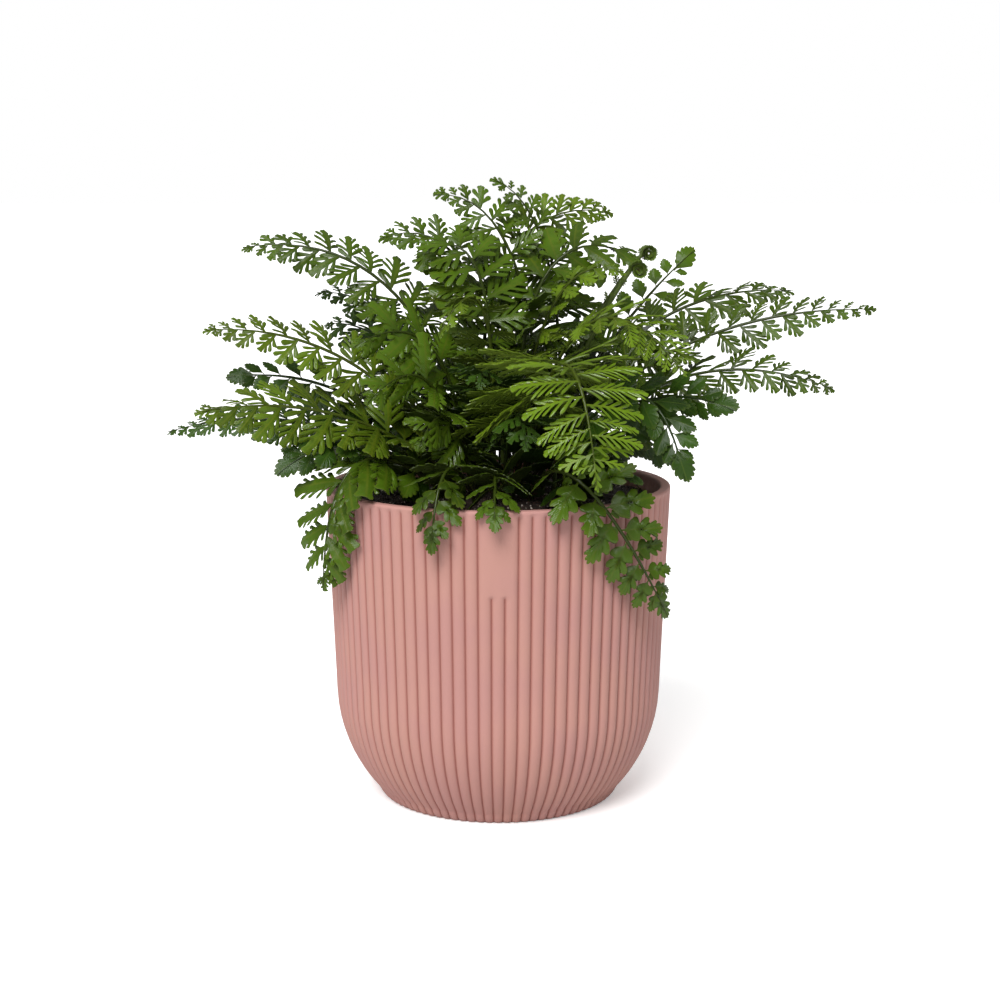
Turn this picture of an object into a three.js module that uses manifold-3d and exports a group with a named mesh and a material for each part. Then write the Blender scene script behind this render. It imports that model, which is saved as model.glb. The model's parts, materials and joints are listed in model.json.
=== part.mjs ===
// A potted fern: a ribbed pot, soil, bipinnate fronds on bare stipes and three curled young fronds.
// Units are millimetres, +Z is up, the origin is on the pot's axis at its flat underside, and the
// viewer stands at -Y. Azimuths are in degrees from +X, turning towards +Y.
import * as THREE from 'three';
import { mergeVertices } from 'three/addons/utils/BufferGeometryUtils.js';
import Module from 'manifold-3d';

// Pot: a short foot, a bowl that is an arc, and a nearly straight ribbed wall.
const POT_HEIGHT = 128.5;
const RIM_RADIUS = 70;
const FOOT_RADIUS = 48;
const CREASE_RADIUS = 51;
const CREASE_HEIGHT = 4.5;
const WAIST_RADIUS = 66.6;
const WAIST_HEIGHT = 46;
const BOWL_ARC = 62;
const RIB_COUNT = 84;
const RIB_DEPTH = 1.1;
const WALL = 4.2;
const FLOOR = 6;
const CAVITY_SIDES = 36;
// A plain band three ribs wide runs from the rim down the front.
const BAND_RIBS = 3;
const BAND_BOTTOM = 95;
const BAND_STEP = 1.5;
const POT_ROWS = [0, CREASE_HEIGHT, 13, 25, 44, BAND_BOTTOM, BAND_BOTTOM + BAND_STEP, POT_HEIGHT];
const FRONT = -90;

// Soil, with a plain hole for each stipe.
const SOIL_HEIGHT = 121.5;
const SOIL_MOUND = 3;
const SOIL_LUMP = 0.7;
const SOIL_RINGS = [0.78, 0.55, 0.3];
const CAVITY_HEIGHTS = [13.5, 24, 42, SOIL_HEIGHT];
const GAP = 0.35;
const HOLE_DEPTH = 9;
const HOLE_REACH = 12;

// Stipes and midribs: flat-sided, tapering, with a bare lower share.
const STIPE_WIDTH = 1.7;
const TIP_WIDTH = 1.1;
const DEPTH_SHARE = 0.9;
const LEAF_THICKNESS = 0.6;
const KNEE = 2;
const STIPE_CELL = 16;
const BARE_SHARE = 0.32;

// Curled young fronds: a stem of square section that winds inwards and thins.
const CROZIER_WIDTH = 1.7;
const CROZIER_THICKNESS = 1.6;
const CROZIER_STEM = [0.25, 0.5, 0.75];
const CURL_STEPS = 14;
const CURL_ANGLE = 2.9 * Math.PI;
const CURL_TIGHTENING = 0.72;
const CURL_THINNING = 0.35;

const UP = new THREE.Vector3(0, 0, 1);
const rad = THREE.MathUtils.degToRad;

const wasm = await Module();
wasm.setup();

const paint = (color, roughness) => new THREE.MeshStandardMaterial({ color, roughness, metalness: 0 });
const COLORS = {
  pot: paint(0xcf9b92, 0.75),
  soil: paint(0x1e1712, 1),
  lime: paint(0x7ea02a, 0.5),
  mid: paint(0x567022, 0.45),
  dark: paint(0x2f4a1b, 0.4),
  young: paint(0x5f7a3a, 0.6),
};

// Leaflet outlines, in shares of the leaflet's length: [along, across], across being positive on
// the side nearer the frond's tip. Each step goes from one neck to the next: a lobe on the near
// side, a lobe on the far side, then the two points of the neck. The plain outline has no lobes.
const OUTLINES = {
  lacy: {
    steps: [[[0.5, -0.4], [0.62, 0.4], [0.62, -0.15], [0.62, 0.15]]],
    length: 25, spread: 62, root: 2.4,
  },
  comb: {
    steps: [
      [[0.34, -0.28], [0.42, 0.28], [0.4, -0.11], [0.4, 0.11]],
      [[0.68, -0.26], [0.78, 0.24], [0.74, -0.08], [0.74, 0.08]],
    ],
    length: 31, spread: 66, root: 2.4,
  },
  broad: {
    steps: [[[0.52, -0.44], [0.7, 0.5], [0.82, -0.24], [0.82, 0.24]]],
    length: 20, spread: 60, root: 2,
  },
};
const PLAIN_STEPS = [[null, null, [0.52, -0.4], [0.64, 0.42]]];
const PLAIN_FROM = 0.55;
const LEAFLET_DROOP = 0.16;
// Towards the frond's tip its leaflets shorten, close up and get narrower roots; the first ones
// are shorter too. The last leaflet carries the midrib on.
const CLOSING = 16;
const ROOT_NARROWING = 0.3;
const TAPER = 0.55;
const FIRST_SIZE = 0.86;
const FULL_SIZE_FROM = 0.25;
const TIP_STALK = 4;
const END_SHARE = 0.45;
const END_OUTLINE = [[0.45, 0.38], [0.5, 0.1], [1, 0], [0.5, -0.1], [0.45, -0.38]];
// A leaflet that would cross something is folded about its root, then shortened, then left off.
const FOLDS = [-8, 8, -24, 24, -40, 40, -56, 56];
const SHARES = [1, 0.8, 0.62];
const ROOM = 1.06;
const CLEARANCE = 0.3;

// Each frond rises from the soil at its foot, bends at its crest and ends at its tip:
// [name, outline, colour, foot, tip, crest, roll, leaflets]. foot: [azimuth, radius]; tip:
// [azimuth, radius, height]; crest: [share of the way out, height, sideways shift]; roll turns
// the blade about its own midrib.
const FRONDS = [
  // front and sides, low to high
  ['trail_right', 'broad', 'mid', [300, 25], [325, 81, 82], [0.6, 170, -50], 0, 14],
  ['trail_left', 'lacy', 'mid', [215, 26], [210, 79, 91], [0.95, 172, 0], -35, 12],
  ['rim_front', 'broad', 'mid', [268, 28], [269, 78, 121], [0.6, 154, 0], 0, 8],
  ['rim_left', 'broad', 'mid', [250, 28], [251, 77, 112], [0.8, 164, 0], 0, 8],
  ['rim_right', 'broad', 'dark', [316, 28], [312, 80, 135], [0.6, 152, 0], 0, 8],
  ['low_left', 'broad', 'dark', [198, 22], [201, 93, 136], [0.5, 165, 0], -25, 8],
  ['face_right', 'comb', 'lime', [296, 14], [293, 92, 138], [0.7, 232, 0], 0, 12],
  ['face_left', 'lacy', 'lime', [192, 14], [200, 124, 162], [0.42, 172, 0], -45, 12],
  ['far_left', 'lacy', 'dark', [170, 24], [171, 141, 146], [0.45, 166, 0], -20, 10],
  ['mid_left', 'broad', 'dark', [181, 20], [184, 110, 172], [0.4, 180, 0], -30, 12],
  ['lace_left', 'lacy', 'lime', [176, 14], [190, 118, 192], [0.36, 196, 0], -35, 12],
  ['high_left', 'lacy', 'mid', [168, 9], [175, 105, 223], [0.2, 236, 0], -40, 12],
  ['back_left_a', 'lacy', 'dark', [156, 16], [163, 80, 204], [0.3, 210, 0], -30, 10],
  ['back_left_b', 'lacy', 'dark', [146, 22], [150, 86, 190], [0.3, 196, 0], -30, 8],
  ['hand_left', 'lacy', 'mid', [240, 20], [238, 58, 148], [0.4, 180, 0], -20, 8],
  ['arch_left_a', 'lacy', 'mid', [216, 14], [214, 68, 186], [0.15, 212, 0], -35, 12],
  ['arch_left_b', 'lacy', 'mid', [226, 21], [226, 72, 166], [0.2, 198, 0], -35, 12],
  ['fill_low', 'lacy', 'dark', [276, 21], [280, 62, 150], [0.3, 182, 0], 0, 8],
  ['fill_front', 'lacy', 'dark', [262, 15], [262, 50, 172], [0.2, 198, 0], 0, 8],
  ['drape_left', 'comb', 'lime', [256, 8], [236, 42, 190], [0.2, 240, 10], 0, 10],
  ['arch_right', 'comb', 'lime', [318, 12], [318, 94, 178], [0.3, 236, 0], 20, 10],
  ['low_right', 'broad', 'dark', [324, 20], [320, 92, 137], [0.75, 206, 0], 20, 10],
  ['side_right', 'broad', 'dark', [336, 26], [331, 104, 163], [0.4, 182, 0], 25, 8],
  ['mid_right', 'lacy', 'mid', [349, 17], [345, 135, 170], [0.42, 196, 0], 35, 12],
  ['far_right', 'lacy', 'mid', [358, 11], [353, 150, 200], [0.35, 202, 0], 35, 14],
  ['fill_right', 'lacy', 'lime', [342, 5], [342, 53, 213], [0.25, 232, 0], 30, 8],
  ['lace_right', 'lacy', 'mid', [8, 15], [10, 125, 205], [0.3, 212, 0], 35, 12],
  ['back_right_low', 'broad', 'dark', [18, 24], [20, 80, 130], [0.5, 165, 0], 30, 8],
  ['broad_right', 'broad', 'mid', [32, 13], [30, 98, 222], [0.45, 190, 0], 40, 12],
  ['top_right', 'comb', 'mid', [5, 8], [15, 62, 217], [-0.1, 250, 0], 35, 10],
  ['top_left', 'comb', 'mid', [200, 6], [165, 36, 218], [-0.4, 250, 0], -40, 10],
  ['crown_back', 'lacy', 'mid', [34, 30], [100, 19, 251], [-0.2, 240, -13], -50, 10],
  ['crown_left', 'lacy', 'mid', [37, 22], [140, 36, 244], [0, 250, 0], -50, 10],
  ['crown_right', 'lacy', 'lime', [135, 11], [40, 65, 236], [0, 252, 12], 50, 10],
  ['crown_low', 'lacy', 'mid', [52, 5], [160, 53, 226], [0.1, 246, -8], -45, 8],
  // the side away from the viewer
  ['rear_a', 'lacy', 'mid', [52, 17], [50, 110, 178], [0.4, 196, 0], 0, 10],
  ['rear_b', 'lacy', 'mid', [72, 11], [72, 96, 208], [0.3, 214, 0], 0, 8],
  ['rear_c', 'lacy', 'mid', [88, 18], [88, 118, 172], [0.4, 190, 0], 0, 10],
  ['rear_d', 'comb', 'lime', [104, 11], [106, 92, 200], [0.3, 216, 0], 0, 8],
  ['rear_e', 'lacy', 'mid', [124, 17], [124, 112, 182], [0.4, 196, 0], 0, 8],
  ['rear_f', 'broad', 'dark', [64, 25], [62, 98, 140], [0.5, 166, 0], 0, 8],
  ['rear_g', 'broad', 'mid', [100, 25], [102, 84, 108], [0.85, 166, 0], 0, 8],
  ['rear_h', 'broad', 'dark', [138, 26], [136, 100, 144], [0.5, 168, 0], 0, 8],
];

// Curled young fronds: name, foot, height of the curl's centre, lean outwards, radius of the curl.
const CROZIERS = [
  ['crozier_a', [286, 6], 172, 3, 4.2],
  ['crozier_b', [3, 23], 214, 30, 3.4],
  ['crozier_c', [22, 20], 220, 44, 3.2],
];

const polar = (azimuth, radius, height) => new THREE.Vector3(
  radius * Math.cos(rad(azimuth)), radius * Math.sin(rad(azimuth)), height);

// ---------------------------------------------------------------- solids

function solidOf(geometry) {
  geometry.deleteAttribute('normal');
  geometry.deleteAttribute('uv');
  const merged = mergeVertices(geometry, 1e-4);
  return new wasm.Manifold(new wasm.Mesh({
    numProp: 3,
    vertProperties: new Float32Array(merged.attributes.position.array),
    triVerts: new Uint32Array(merged.index.array),
  }));
}

function geometryOf(solid) {
  const mesh = solid.getMesh();
  const geometry = new THREE.BufferGeometry();
  geometry.setAttribute('position', new THREE.BufferAttribute(mesh.vertProperties, 3));
  geometry.setIndex(new THREE.BufferAttribute(mesh.triVerts, 1));
  return geometry;
}

// A closed body from a sheet: both faces use the same triangles, and its open edges get walls.
// Each point holds its place, the sheet's normal there and half the thickness.
function thicken(points, faces, extra = 0) {
  const position = [];
  for (const side of [1, -1]) {
    for (const point of points) {
      const place = point.place.clone().addScaledVector(point.normal, side * (point.half + extra));
      position.push(...place.toArray());
    }
  }
  const under = points.length;
  const edges = new Set();
  const index = [];
  for (const [a, b, c] of faces) {
    index.push(a, b, c, a + under, c + under, b + under);
    for (const edge of [[a, b], [b, c], [c, a]]) edges.add(edge.join());
  }
  for (const edge of edges) {
    const [a, b] = edge.split(',').map(Number);
    if (!edges.has(`${b},${a}`)) index.push(a, a + under, b + under, a, b + under, b);
  }
  const geometry = new THREE.BufferGeometry();
  geometry.setAttribute('position', new THREE.Float32BufferAttribute(position, 3));
  geometry.setIndex(index);
  return geometry;
}

// ---------------------------------------------------------------- pot and soil

function wallRadius(height) {
  if (height <= CREASE_HEIGHT) {
    return THREE.MathUtils.lerp(FOOT_RADIUS, CREASE_RADIUS, height / CREASE_HEIGHT);
  }
  if (height >= WAIST_HEIGHT) {
    const share = (height - WAIST_HEIGHT) / (POT_HEIGHT - WAIST_HEIGHT);
    return THREE.MathUtils.lerp(WAIST_RADIUS, RIM_RADIUS, share);
  }
  return WAIST_RADIUS - BOWL_ARC + Math.sqrt(BOWL_ARC ** 2 - (WAIST_HEIGHT - height) ** 2);
}

// A solid of revolution with points sunk or raised by a function of radius, angle and height.
function turned(profile, sides, shift) {
  const outline = profile.map(([radius, height]) => new THREE.Vector2(radius, height));
  const geometry = new THREE.LatheGeometry(outline, sides);
  geometry.rotateX(Math.PI / 2);
  const position = geometry.attributes.position;
  for (let i = 0; i < position.count; i += 1) {
    const [x, y, z] = [position.getX(i), position.getY(i), position.getZ(i)];
    const radius = Math.hypot(x, y);
    const moved = shift(radius, Math.atan2(y, x), z);
    const scale = radius > 1e-6 ? moved.radius / radius : 1;
    position.setXYZ(i, x * scale, y * scale, moved.height);
  }
  return solidOf(geometry);
}

// The cavity's wall from its floor to the soil's edge, drawn in by inset for the soil itself.
const cavityWall = (inset) => [
  [wallRadius(FLOOR) - WALL - 1 - inset, FLOOR + inset],
  ...CAVITY_HEIGHTS.map((height) => [wallRadius(height) - WALL - inset, height]),
];

function pot() {
  const columns = RIB_COUNT * 2;
  const rib = 2 * Math.PI / RIB_COUNT;
  const outline = POT_ROWS.map((height) => [wallRadius(height), height]);
  const body = turned([[0, 0], ...outline, [0, POT_HEIGHT]], columns, (radius, angle, height) => {
    const column = Math.round(angle / (rib / 2));
    const onBand = height > BAND_BOTTOM && Math.abs(angle - rad(FRONT)) < (BAND_RIBS - 0.5) * rib / 2;
    const sunk = column % 2 !== 0 && !onBand && radius > RIB_DEPTH;
    return { radius: sunk ? radius - RIB_DEPTH : radius, height };
  });
  const rest = (radius, angle, height) => ({ radius, height });
  const top = POT_HEIGHT + 2;
  const rim = [RIM_RADIUS - WALL, top];
  const cavity = turned([[0, FLOOR], ...cavityWall(0), rim, [0, top]], CAVITY_SIDES, rest);
  return body.subtract(cavity);
}

const soilHeight = (x, y) => {
  const share = Math.hypot(x, y) / (RIM_RADIUS - WALL);
  const lumps = Math.sin(x * 0.21 + 1) * Math.cos(y * 0.17) * share;
  return SOIL_HEIGHT + SOIL_MOUND * (1 - share ** 2) + SOIL_LUMP * lumps;
};

function soil(holes) {
  const side = cavityWall(GAP);
  const edge = side[side.length - 1][0];
  const top = SOIL_HEIGHT + 1;
  const rings = SOIL_RINGS.map((share) => [edge * share, top]);
  const profile = [[0, FLOOR + GAP], ...side, ...rings, [0, top]];
  const body = turned(profile, CAVITY_SIDES, (radius, angle, height) => {
    const surface = soilHeight(radius * Math.cos(angle), radius * Math.sin(angle));
    return { radius, height: height === top ? surface : height };
  });
  return holes.reduce((rest, hole) => rest.subtract(hole), body);
}

// ---------------------------------------------------------------- fronds

// The midrib: a straight stub in the soil, then a quadratic curve. at(distance) gives the place
// and the frame there: ahead along the midrib, left across it and face out of the upper surface.
function midrib([footAzimuth, footRadius], tip, [share, crest, swing], roll, lastLeaflet) {
  const foot = polar(footAzimuth, footRadius, 0);
  foot.z = soilHeight(foot.x, foot.y) + KNEE;
  const end = polar(...tip);
  const way = new THREE.Vector3(end.x - foot.x, end.y - foot.y, 0);
  const aside = new THREE.Vector3().crossVectors(UP, way).normalize();
  const bend = new THREE.Vector3(foot.x, foot.y, crest);
  bend.addScaledVector(way, share).addScaledVector(aside, swing);
  const curve = new THREE.QuadraticBezierCurve3(foot, bend, end);
  curve.arcLengthDivisions = 100;
  const whole = curve.getLength();
  const at = (distance) => {
    const u = Math.min(1, distance / whole);
    const ahead = curve.getTangentAt(u);
    const flat = new THREE.Vector3(ahead.x, ahead.y, 0);
    if (flat.dot(way) < 0 || flat.length() < 0.05) flat.copy(way);
    const left = new THREE.Vector3().crossVectors(UP, flat).normalize();
    left.addScaledVector(ahead, -left.dot(ahead)).normalize();
    const face = new THREE.Vector3().crossVectors(ahead, left);
    const turn = rad(roll) * Math.min(1, 2 * u);
    left.applyAxisAngle(ahead, turn);
    face.applyAxisAngle(ahead, turn);
    return { place: curve.getPointAt(u), ahead, left, face };
  };
  return { length: whole - lastLeaflet, at, foot };
}

const widthAt = (rib, distance) => THREE.MathUtils.lerp(STIPE_WIDTH, TIP_WIDTH, distance / rib.length);

function edgePoint(rib, distance, side) {
  const frame = rib.at(distance);
  const half = widthAt(rib, distance) / 2;
  const place = frame.place.clone().addScaledVector(frame.left, side * half);
  return { place, normal: frame.face, half: half * DEPTH_SHARE, distance };
}

// The midrib's sheet: two rows of edge points, from the stub up, joined in turns. Each leaflet's
// root is an edge between two neighbours in a row.
function ribSheet(rib, leftStops, rightStops) {
  const heading = rib.at(0);
  const half = STIPE_WIDTH / 2;
  const low = (side) => {
    const place = rib.foot.clone().addScaledVector(heading.left, side * half);
    place.z -= HOLE_DEPTH + KNEE - GAP;
    const back = new THREE.Vector3().crossVectors(UP, heading.left);
    return { place, normal: back, half: half * DEPTH_SHARE, distance: -1 };
  };
  const rows = [[1, leftStops], [-1, rightStops]].map(([side, stops]) => [
    low(side), ...[0, ...stops].map((distance) => edgePoint(rib, distance, side))]);
  const points = [...rows[0], ...rows[1]];
  const offset = rows[0].length;
  const faces = [];
  let [l, r] = [0, 0];
  while (l < rows[0].length - 1 || r < rows[1].length - 1) {
    const nextLeft = l < rows[0].length - 1 ? rows[0][l + 1].distance : Infinity;
    const nextRight = r < rows[1].length - 1 ? rows[1][r + 1].distance : Infinity;
    if (nextLeft <= nextRight) {
      faces.push([offset + r, l + 1, l]);
      l += 1;
    } else {
      faces.push([offset + r, offset + r + 1, l]);
      r += 1;
    }
  }
  return { points, faces, offset };
}

// One leaflet as a lobed, arched sheet on the root edge between two stops of the midrib.
function leaflet(rib, spec, size, fold) {
  const { side, start, stop, spread, steps } = spec;
  const frame = rib.at((start + stop) / 2);
  const aside = frame.left.clone().multiplyScalar(side).applyAxisAngle(frame.ahead, side * rad(fold));
  const face = frame.face.clone().applyAxisAngle(frame.ahead, side * rad(fold));
  const [sine, cosine] = [Math.sin(rad(spread)), Math.cos(rad(spread))];
  const out = aside.clone().multiplyScalar(sine).addScaledVector(frame.ahead, cosine);
  const across = aside.clone().multiplyScalar(-cosine).addScaledVector(frame.ahead, sine);
  const root = frame.place.clone().addScaledVector(frame.left, side * widthAt(rib, start) / 2);
  const points = [edgePoint(rib, start, side), edgePoint(rib, stop, side)];
  const faces = [];
  const add = ([u, v]) => points.push({
    place: root.clone().addScaledVector(out, u * size).addScaledVector(across, v * size)
      .addScaledVector(face, -LEAFLET_DROOP * u * u * size),
    normal: face.clone().addScaledVector(out, 2 * LEAFLET_DROOP * u).normalize(),
    half: LEAF_THICKNESS / 2,
  }) - 1;
  let [near, far] = [0, 1];
  for (const [nearLobe, farLobe, nearNeck, farNeck] of steps) {
    const [nextNear, nextFar] = [add(nearNeck), add(farNeck)];
    if (nearLobe) faces.push([near, add(nearLobe), nextNear], [nextFar, add(farLobe), far]);
    faces.push([near, nextNear, nextFar], [near, nextFar, far]);
    [near, far] = [nextNear, nextFar];
  }
  faces.push([near, add([1, 0.02]), far]);
  return { points, faces: side > 0 ? faces.map((face3) => face3.reverse()) : faces };
}

// The leaflets' places along the midrib, alternately left and right, with their sizes.
function leafletSpecs(rib, leaf, count) {
  const bare = rib.length * BARE_SHARE;
  const pitch = (rib.length - bare - TIP_STALK) / count;
  return Array.from({ length: count }, (_, i) => {
    const share = i / count;
    const start = bare + pitch * i;
    const opening = THREE.MathUtils.lerp(FIRST_SIZE, 1, Math.min(1, share / FULL_SIZE_FROM));
    return {
      side: i % 2 ? -1 : 1,
      start,
      stop: start + leaf.root * (1 - ROOT_NARROWING * share),
      size: leaf.length * (1 - share) ** TAPER * opening,
      spread: leaf.spread - CLOSING * share,
      steps: share > PLAIN_FROM ? PLAIN_STEPS : leaf.steps,
    };
  });
}

// What each new leaflet has to stay clear of.
const placed = [];
const boxesMeet = (a, b) => [0, 1, 2].every((k) => a.min[k] < b.max[k] && b.min[k] < a.max[k]);
const keepClear = (solid, owner) => placed.push({ solid, owner, box: solid.boundingBox() });
const isClear = (solid, owner) => {
  const box = solid.boundingBox();
  return placed.every((other) => other.owner === owner || !boxesMeet(box, other.box)
    || solid.intersect(other.solid).isEmpty());
};

function placeLeaflet(rib, spec, name) {
  for (const share of SHARES) {
    for (const fold of FOLDS) {
      const size = spec.size * share;
      const room = leaflet(rib, spec, size * ROOM, fold);
      const solid = solidOf(thicken(room.points, room.faces, CLEARANCE));
      if (isClear(solid, name)) {
        keepClear(solid, `${name} leaflet`);
        return { spec, sheet: leaflet(rib, spec, size, fold) };
      }
    }
  }
  return null;
}

// Stops along the bare stipe.
const stipeStops = (rib) => {
  const bare = rib.length * BARE_SHARE;
  const cells = Math.max(2, Math.round(bare / STIPE_CELL));
  return Array.from({ length: cells - 1 }, (_, i) => bare * (i + 1) / cells);
};

// One frond: its midrib's sheet with the leaflets' sheets joined on, made thick.
function frondGeometry(frond, leaflets) {
  const { rib } = frond;
  const stops = (side) => [
    ...stipeStops(rib),
    ...frond.specs.filter((spec) => spec.side === side).flatMap((spec) => [spec.start, spec.stop]),
    rib.length,
  ];
  const sheet = ribSheet(rib, stops(1), stops(-1));
  const points = [...sheet.points];
  const faces = [...sheet.faces];
  for (const { spec, sheet: leaf } of leaflets) {
    const row = spec.side > 0 ? 0 : sheet.offset;
    const first = points.findIndex((p, i) => i >= row && p.distance === spec.start);
    const shift = points.length - 2;
    const index = (i) => (i < 2 ? first + i : i + shift);
    points.push(...leaf.points.slice(2));
    faces.push(...leaf.faces.map((face) => face.map(index)));
  }
  // The last leaflet carries on from the midrib's end.
  const end = rib.at(rib.length);
  const size = frond.leaf.length * END_SHARE;
  const left = sheet.offset - 1;
  const right = sheet.points.length - 1;
  const base = points.length;
  points.push(...END_OUTLINE.map(([along, across]) => ({
    place: end.place.clone().addScaledVector(end.ahead, along * size)
      .addScaledVector(end.left, across * size),
    normal: end.face,
    half: LEAF_THICKNESS / 2,
  })));
  faces.push([left, base + 1, base], [left, right, base + 3], [left, base + 3, base + 1]);
  faces.push([base + 1, base + 3, base + 2], [right, base + 4, base + 3]);
  return thicken(points, faces);
}

// A crozier's stations: its stub, a stem that leans outwards as it rises, and the curl.
function crozierRib([azimuth, radius], height, lean, curl) {
  const foot = polar(azimuth, radius, 0);
  foot.z = soilHeight(foot.x, foot.y) + KNEE;
  const ahead = polar(azimuth, 1, 0);
  const left = new THREE.Vector3().crossVectors(UP, ahead);
  const stations = [];
  const push = (out, z, slope, half) => {
    const tangent = ahead.clone().multiplyScalar(Math.sin(slope)).addScaledVector(UP, Math.cos(slope));
    const place = new THREE.Vector3(foot.x, foot.y, z).addScaledVector(ahead, out);
    stations.push({ place, left, face: new THREE.Vector3().crossVectors(tangent, left), half });
  };
  push(0, foot.z - HOLE_DEPTH - KNEE + GAP, 0, 1);
  push(0, foot.z, 0, 1);
  const rise = height - foot.z;
  for (const u of CROZIER_STEM) {
    push(lean * u * u, foot.z + rise * u, Math.atan2(2 * lean * u, rise), 1);
  }
  const slope = Math.atan2(2 * lean, rise);
  for (let i = 0; i <= CURL_STEPS; i += 1) {
    const share = i / CURL_STEPS;
    const angle = share * CURL_ANGLE;
    const reach = curl * (1 - CURL_TIGHTENING * share);
    const out = lean + curl - reach * Math.cos(angle);
    push(out, height + reach * Math.sin(angle), slope + angle, 1 - CURL_THINNING * share);
  }
  return stations;
}

function crozierGeometry(stations) {
  const points = stations.flatMap(({ place, left, face, half }) => [1, -1].map((side) => ({
    place: place.clone().addScaledVector(left, side * half * CROZIER_WIDTH / 2),
    normal: face,
    half: half * CROZIER_THICKNESS / 2,
  })));
  const faces = [];
  for (let i = 0; i < stations.length - 1; i += 1) {
    const a = 2 * i;
    faces.push([a + 1, a + 3, a + 2], [a + 1, a + 2, a]);
  }
  return thicken(points, faces);
}

// A square hole round a stub, clear of it on all sides.
function stubHole(foot, heading) {
  const half = STIPE_WIDTH / 2 + GAP;
  const outline = new THREE.Shape([
    new THREE.Vector2(-half, -half), new THREE.Vector2(half, -half),
    new THREE.Vector2(half, half), new THREE.Vector2(-half, half)]);
  const block = new THREE.ExtrudeGeometry(outline, { depth: HOLE_DEPTH + HOLE_REACH, bevelEnabled: false });
  block.rotateZ(Math.atan2(heading.y, heading.x));
  block.translate(foot.x, foot.y, foot.z - KNEE - HOLE_DEPTH);
  return solidOf(block);
}

// ---------------------------------------------------------------- the plant

const plant = new THREE.Group();

function addMesh(name, geometry, material) {
  const mesh = new THREE.Mesh(geometry, material);
  mesh.name = name;
  plant.add(mesh);
}

const fronds = FRONDS.map(([name, kind, color, foot, tip, crest, roll, count]) => {
  const leaf = OUTLINES[kind];
  const rib = midrib(foot, tip, crest, roll, leaf.length * END_SHARE);
  return { name, color, rib, leaf, specs: leafletSpecs(rib, leaf, count) };
});
const croziers = CROZIERS.map(([name, foot, ...shape]) => {
  const stations = crozierRib(foot, ...shape);
  return { name, stations, geometry: crozierGeometry(stations) };
});

const holes = [
  ...fronds.map(({ rib }) => stubHole(rib.foot, rib.at(0).left)),
  ...croziers.map(({ stations }) => stubHole(stations[1].place, stations[1].left)),
];
const potSolid = pot();
const soilSolid = soil(holes);
addMesh('pot', geometryOf(potSolid), COLORS.pot);
addMesh('soil', geometryOf(soilSolid), COLORS.soil);

keepClear(potSolid, 'pot');
keepClear(soilSolid, 'soil');
for (const { name, geometry } of croziers) keepClear(solidOf(geometry.clone()), name);
for (const frond of fronds) keepClear(solidOf(frondGeometry(frond, [])), frond.name);
for (const frond of fronds) {
  const leaflets = frond.specs
    .map((spec) => placeLeaflet(frond.rib, spec, frond.name))
    .filter((leaf) => leaf !== null);
  addMesh(`frond_${frond.name}`, frondGeometry(frond, leaflets), COLORS[frond.color]);
}
for (const { name, geometry } of croziers) addMesh(name, geometry, COLORS.young);

export default plant;
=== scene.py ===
"""A potted fern: a ribbed pot, potting soil, finely cut leathery fronds and curled young fronds."""
import json
import math

import bpy
import numpy as np
from mathutils import Matrix, Vector, noise
from mathutils.bvhtree import BVHTree

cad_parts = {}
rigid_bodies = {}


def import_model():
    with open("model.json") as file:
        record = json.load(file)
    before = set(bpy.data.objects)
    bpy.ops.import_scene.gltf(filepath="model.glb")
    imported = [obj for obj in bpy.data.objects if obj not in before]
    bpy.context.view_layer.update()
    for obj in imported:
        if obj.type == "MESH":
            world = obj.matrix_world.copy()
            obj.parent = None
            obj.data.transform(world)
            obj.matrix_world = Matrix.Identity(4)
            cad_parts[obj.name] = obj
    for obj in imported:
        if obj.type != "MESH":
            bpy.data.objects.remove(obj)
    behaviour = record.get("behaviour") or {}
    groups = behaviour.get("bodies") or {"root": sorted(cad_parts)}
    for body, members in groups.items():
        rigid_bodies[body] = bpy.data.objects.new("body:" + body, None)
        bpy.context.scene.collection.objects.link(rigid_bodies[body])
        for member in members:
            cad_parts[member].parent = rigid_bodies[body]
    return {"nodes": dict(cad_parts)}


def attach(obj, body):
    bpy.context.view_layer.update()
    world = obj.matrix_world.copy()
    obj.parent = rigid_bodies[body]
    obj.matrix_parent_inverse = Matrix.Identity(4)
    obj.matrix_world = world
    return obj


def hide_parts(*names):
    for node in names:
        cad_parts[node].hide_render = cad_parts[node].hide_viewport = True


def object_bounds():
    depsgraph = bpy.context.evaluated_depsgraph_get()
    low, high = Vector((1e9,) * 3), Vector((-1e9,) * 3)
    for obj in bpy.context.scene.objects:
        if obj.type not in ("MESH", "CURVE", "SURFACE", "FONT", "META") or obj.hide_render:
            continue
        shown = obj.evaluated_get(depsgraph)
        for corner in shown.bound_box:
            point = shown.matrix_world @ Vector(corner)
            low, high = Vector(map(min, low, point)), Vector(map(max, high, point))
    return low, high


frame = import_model()
CAD_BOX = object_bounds()

bl_info = {
    "name": "Potted Fern",
    "version": (1, 0, 0),
    "blender": (4, 5, 0),
    "location": "3D View > Sidebar > Fern",
    "description": "Dresses a potted fern: ribbed pot, soil, fronds and curled young fronds",
    "category": "Object",
}

MM = 0.001
BODY = "root"
UP = Vector((0, 0, 1))
SEED = 7

# Pot, in millimetres, as its solid has it.
POT_HEIGHT = 128.5
RIM_RADIUS = 70
FOOT_RADIUS = 48
CREASE_RADIUS = 51
CREASE_HEIGHT = 4.5
WAIST_RADIUS = 66.6
WAIST_HEIGHT = 46
BOWL_ARC = 62
WALL = 4.2
FLOOR = 6
FLOOR_CORNER = 1
BAND_BOTTOM = 95
RIM_ROUND = 1
# The azimuth of the band's middle, in degrees.
FRONT = -90
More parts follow.
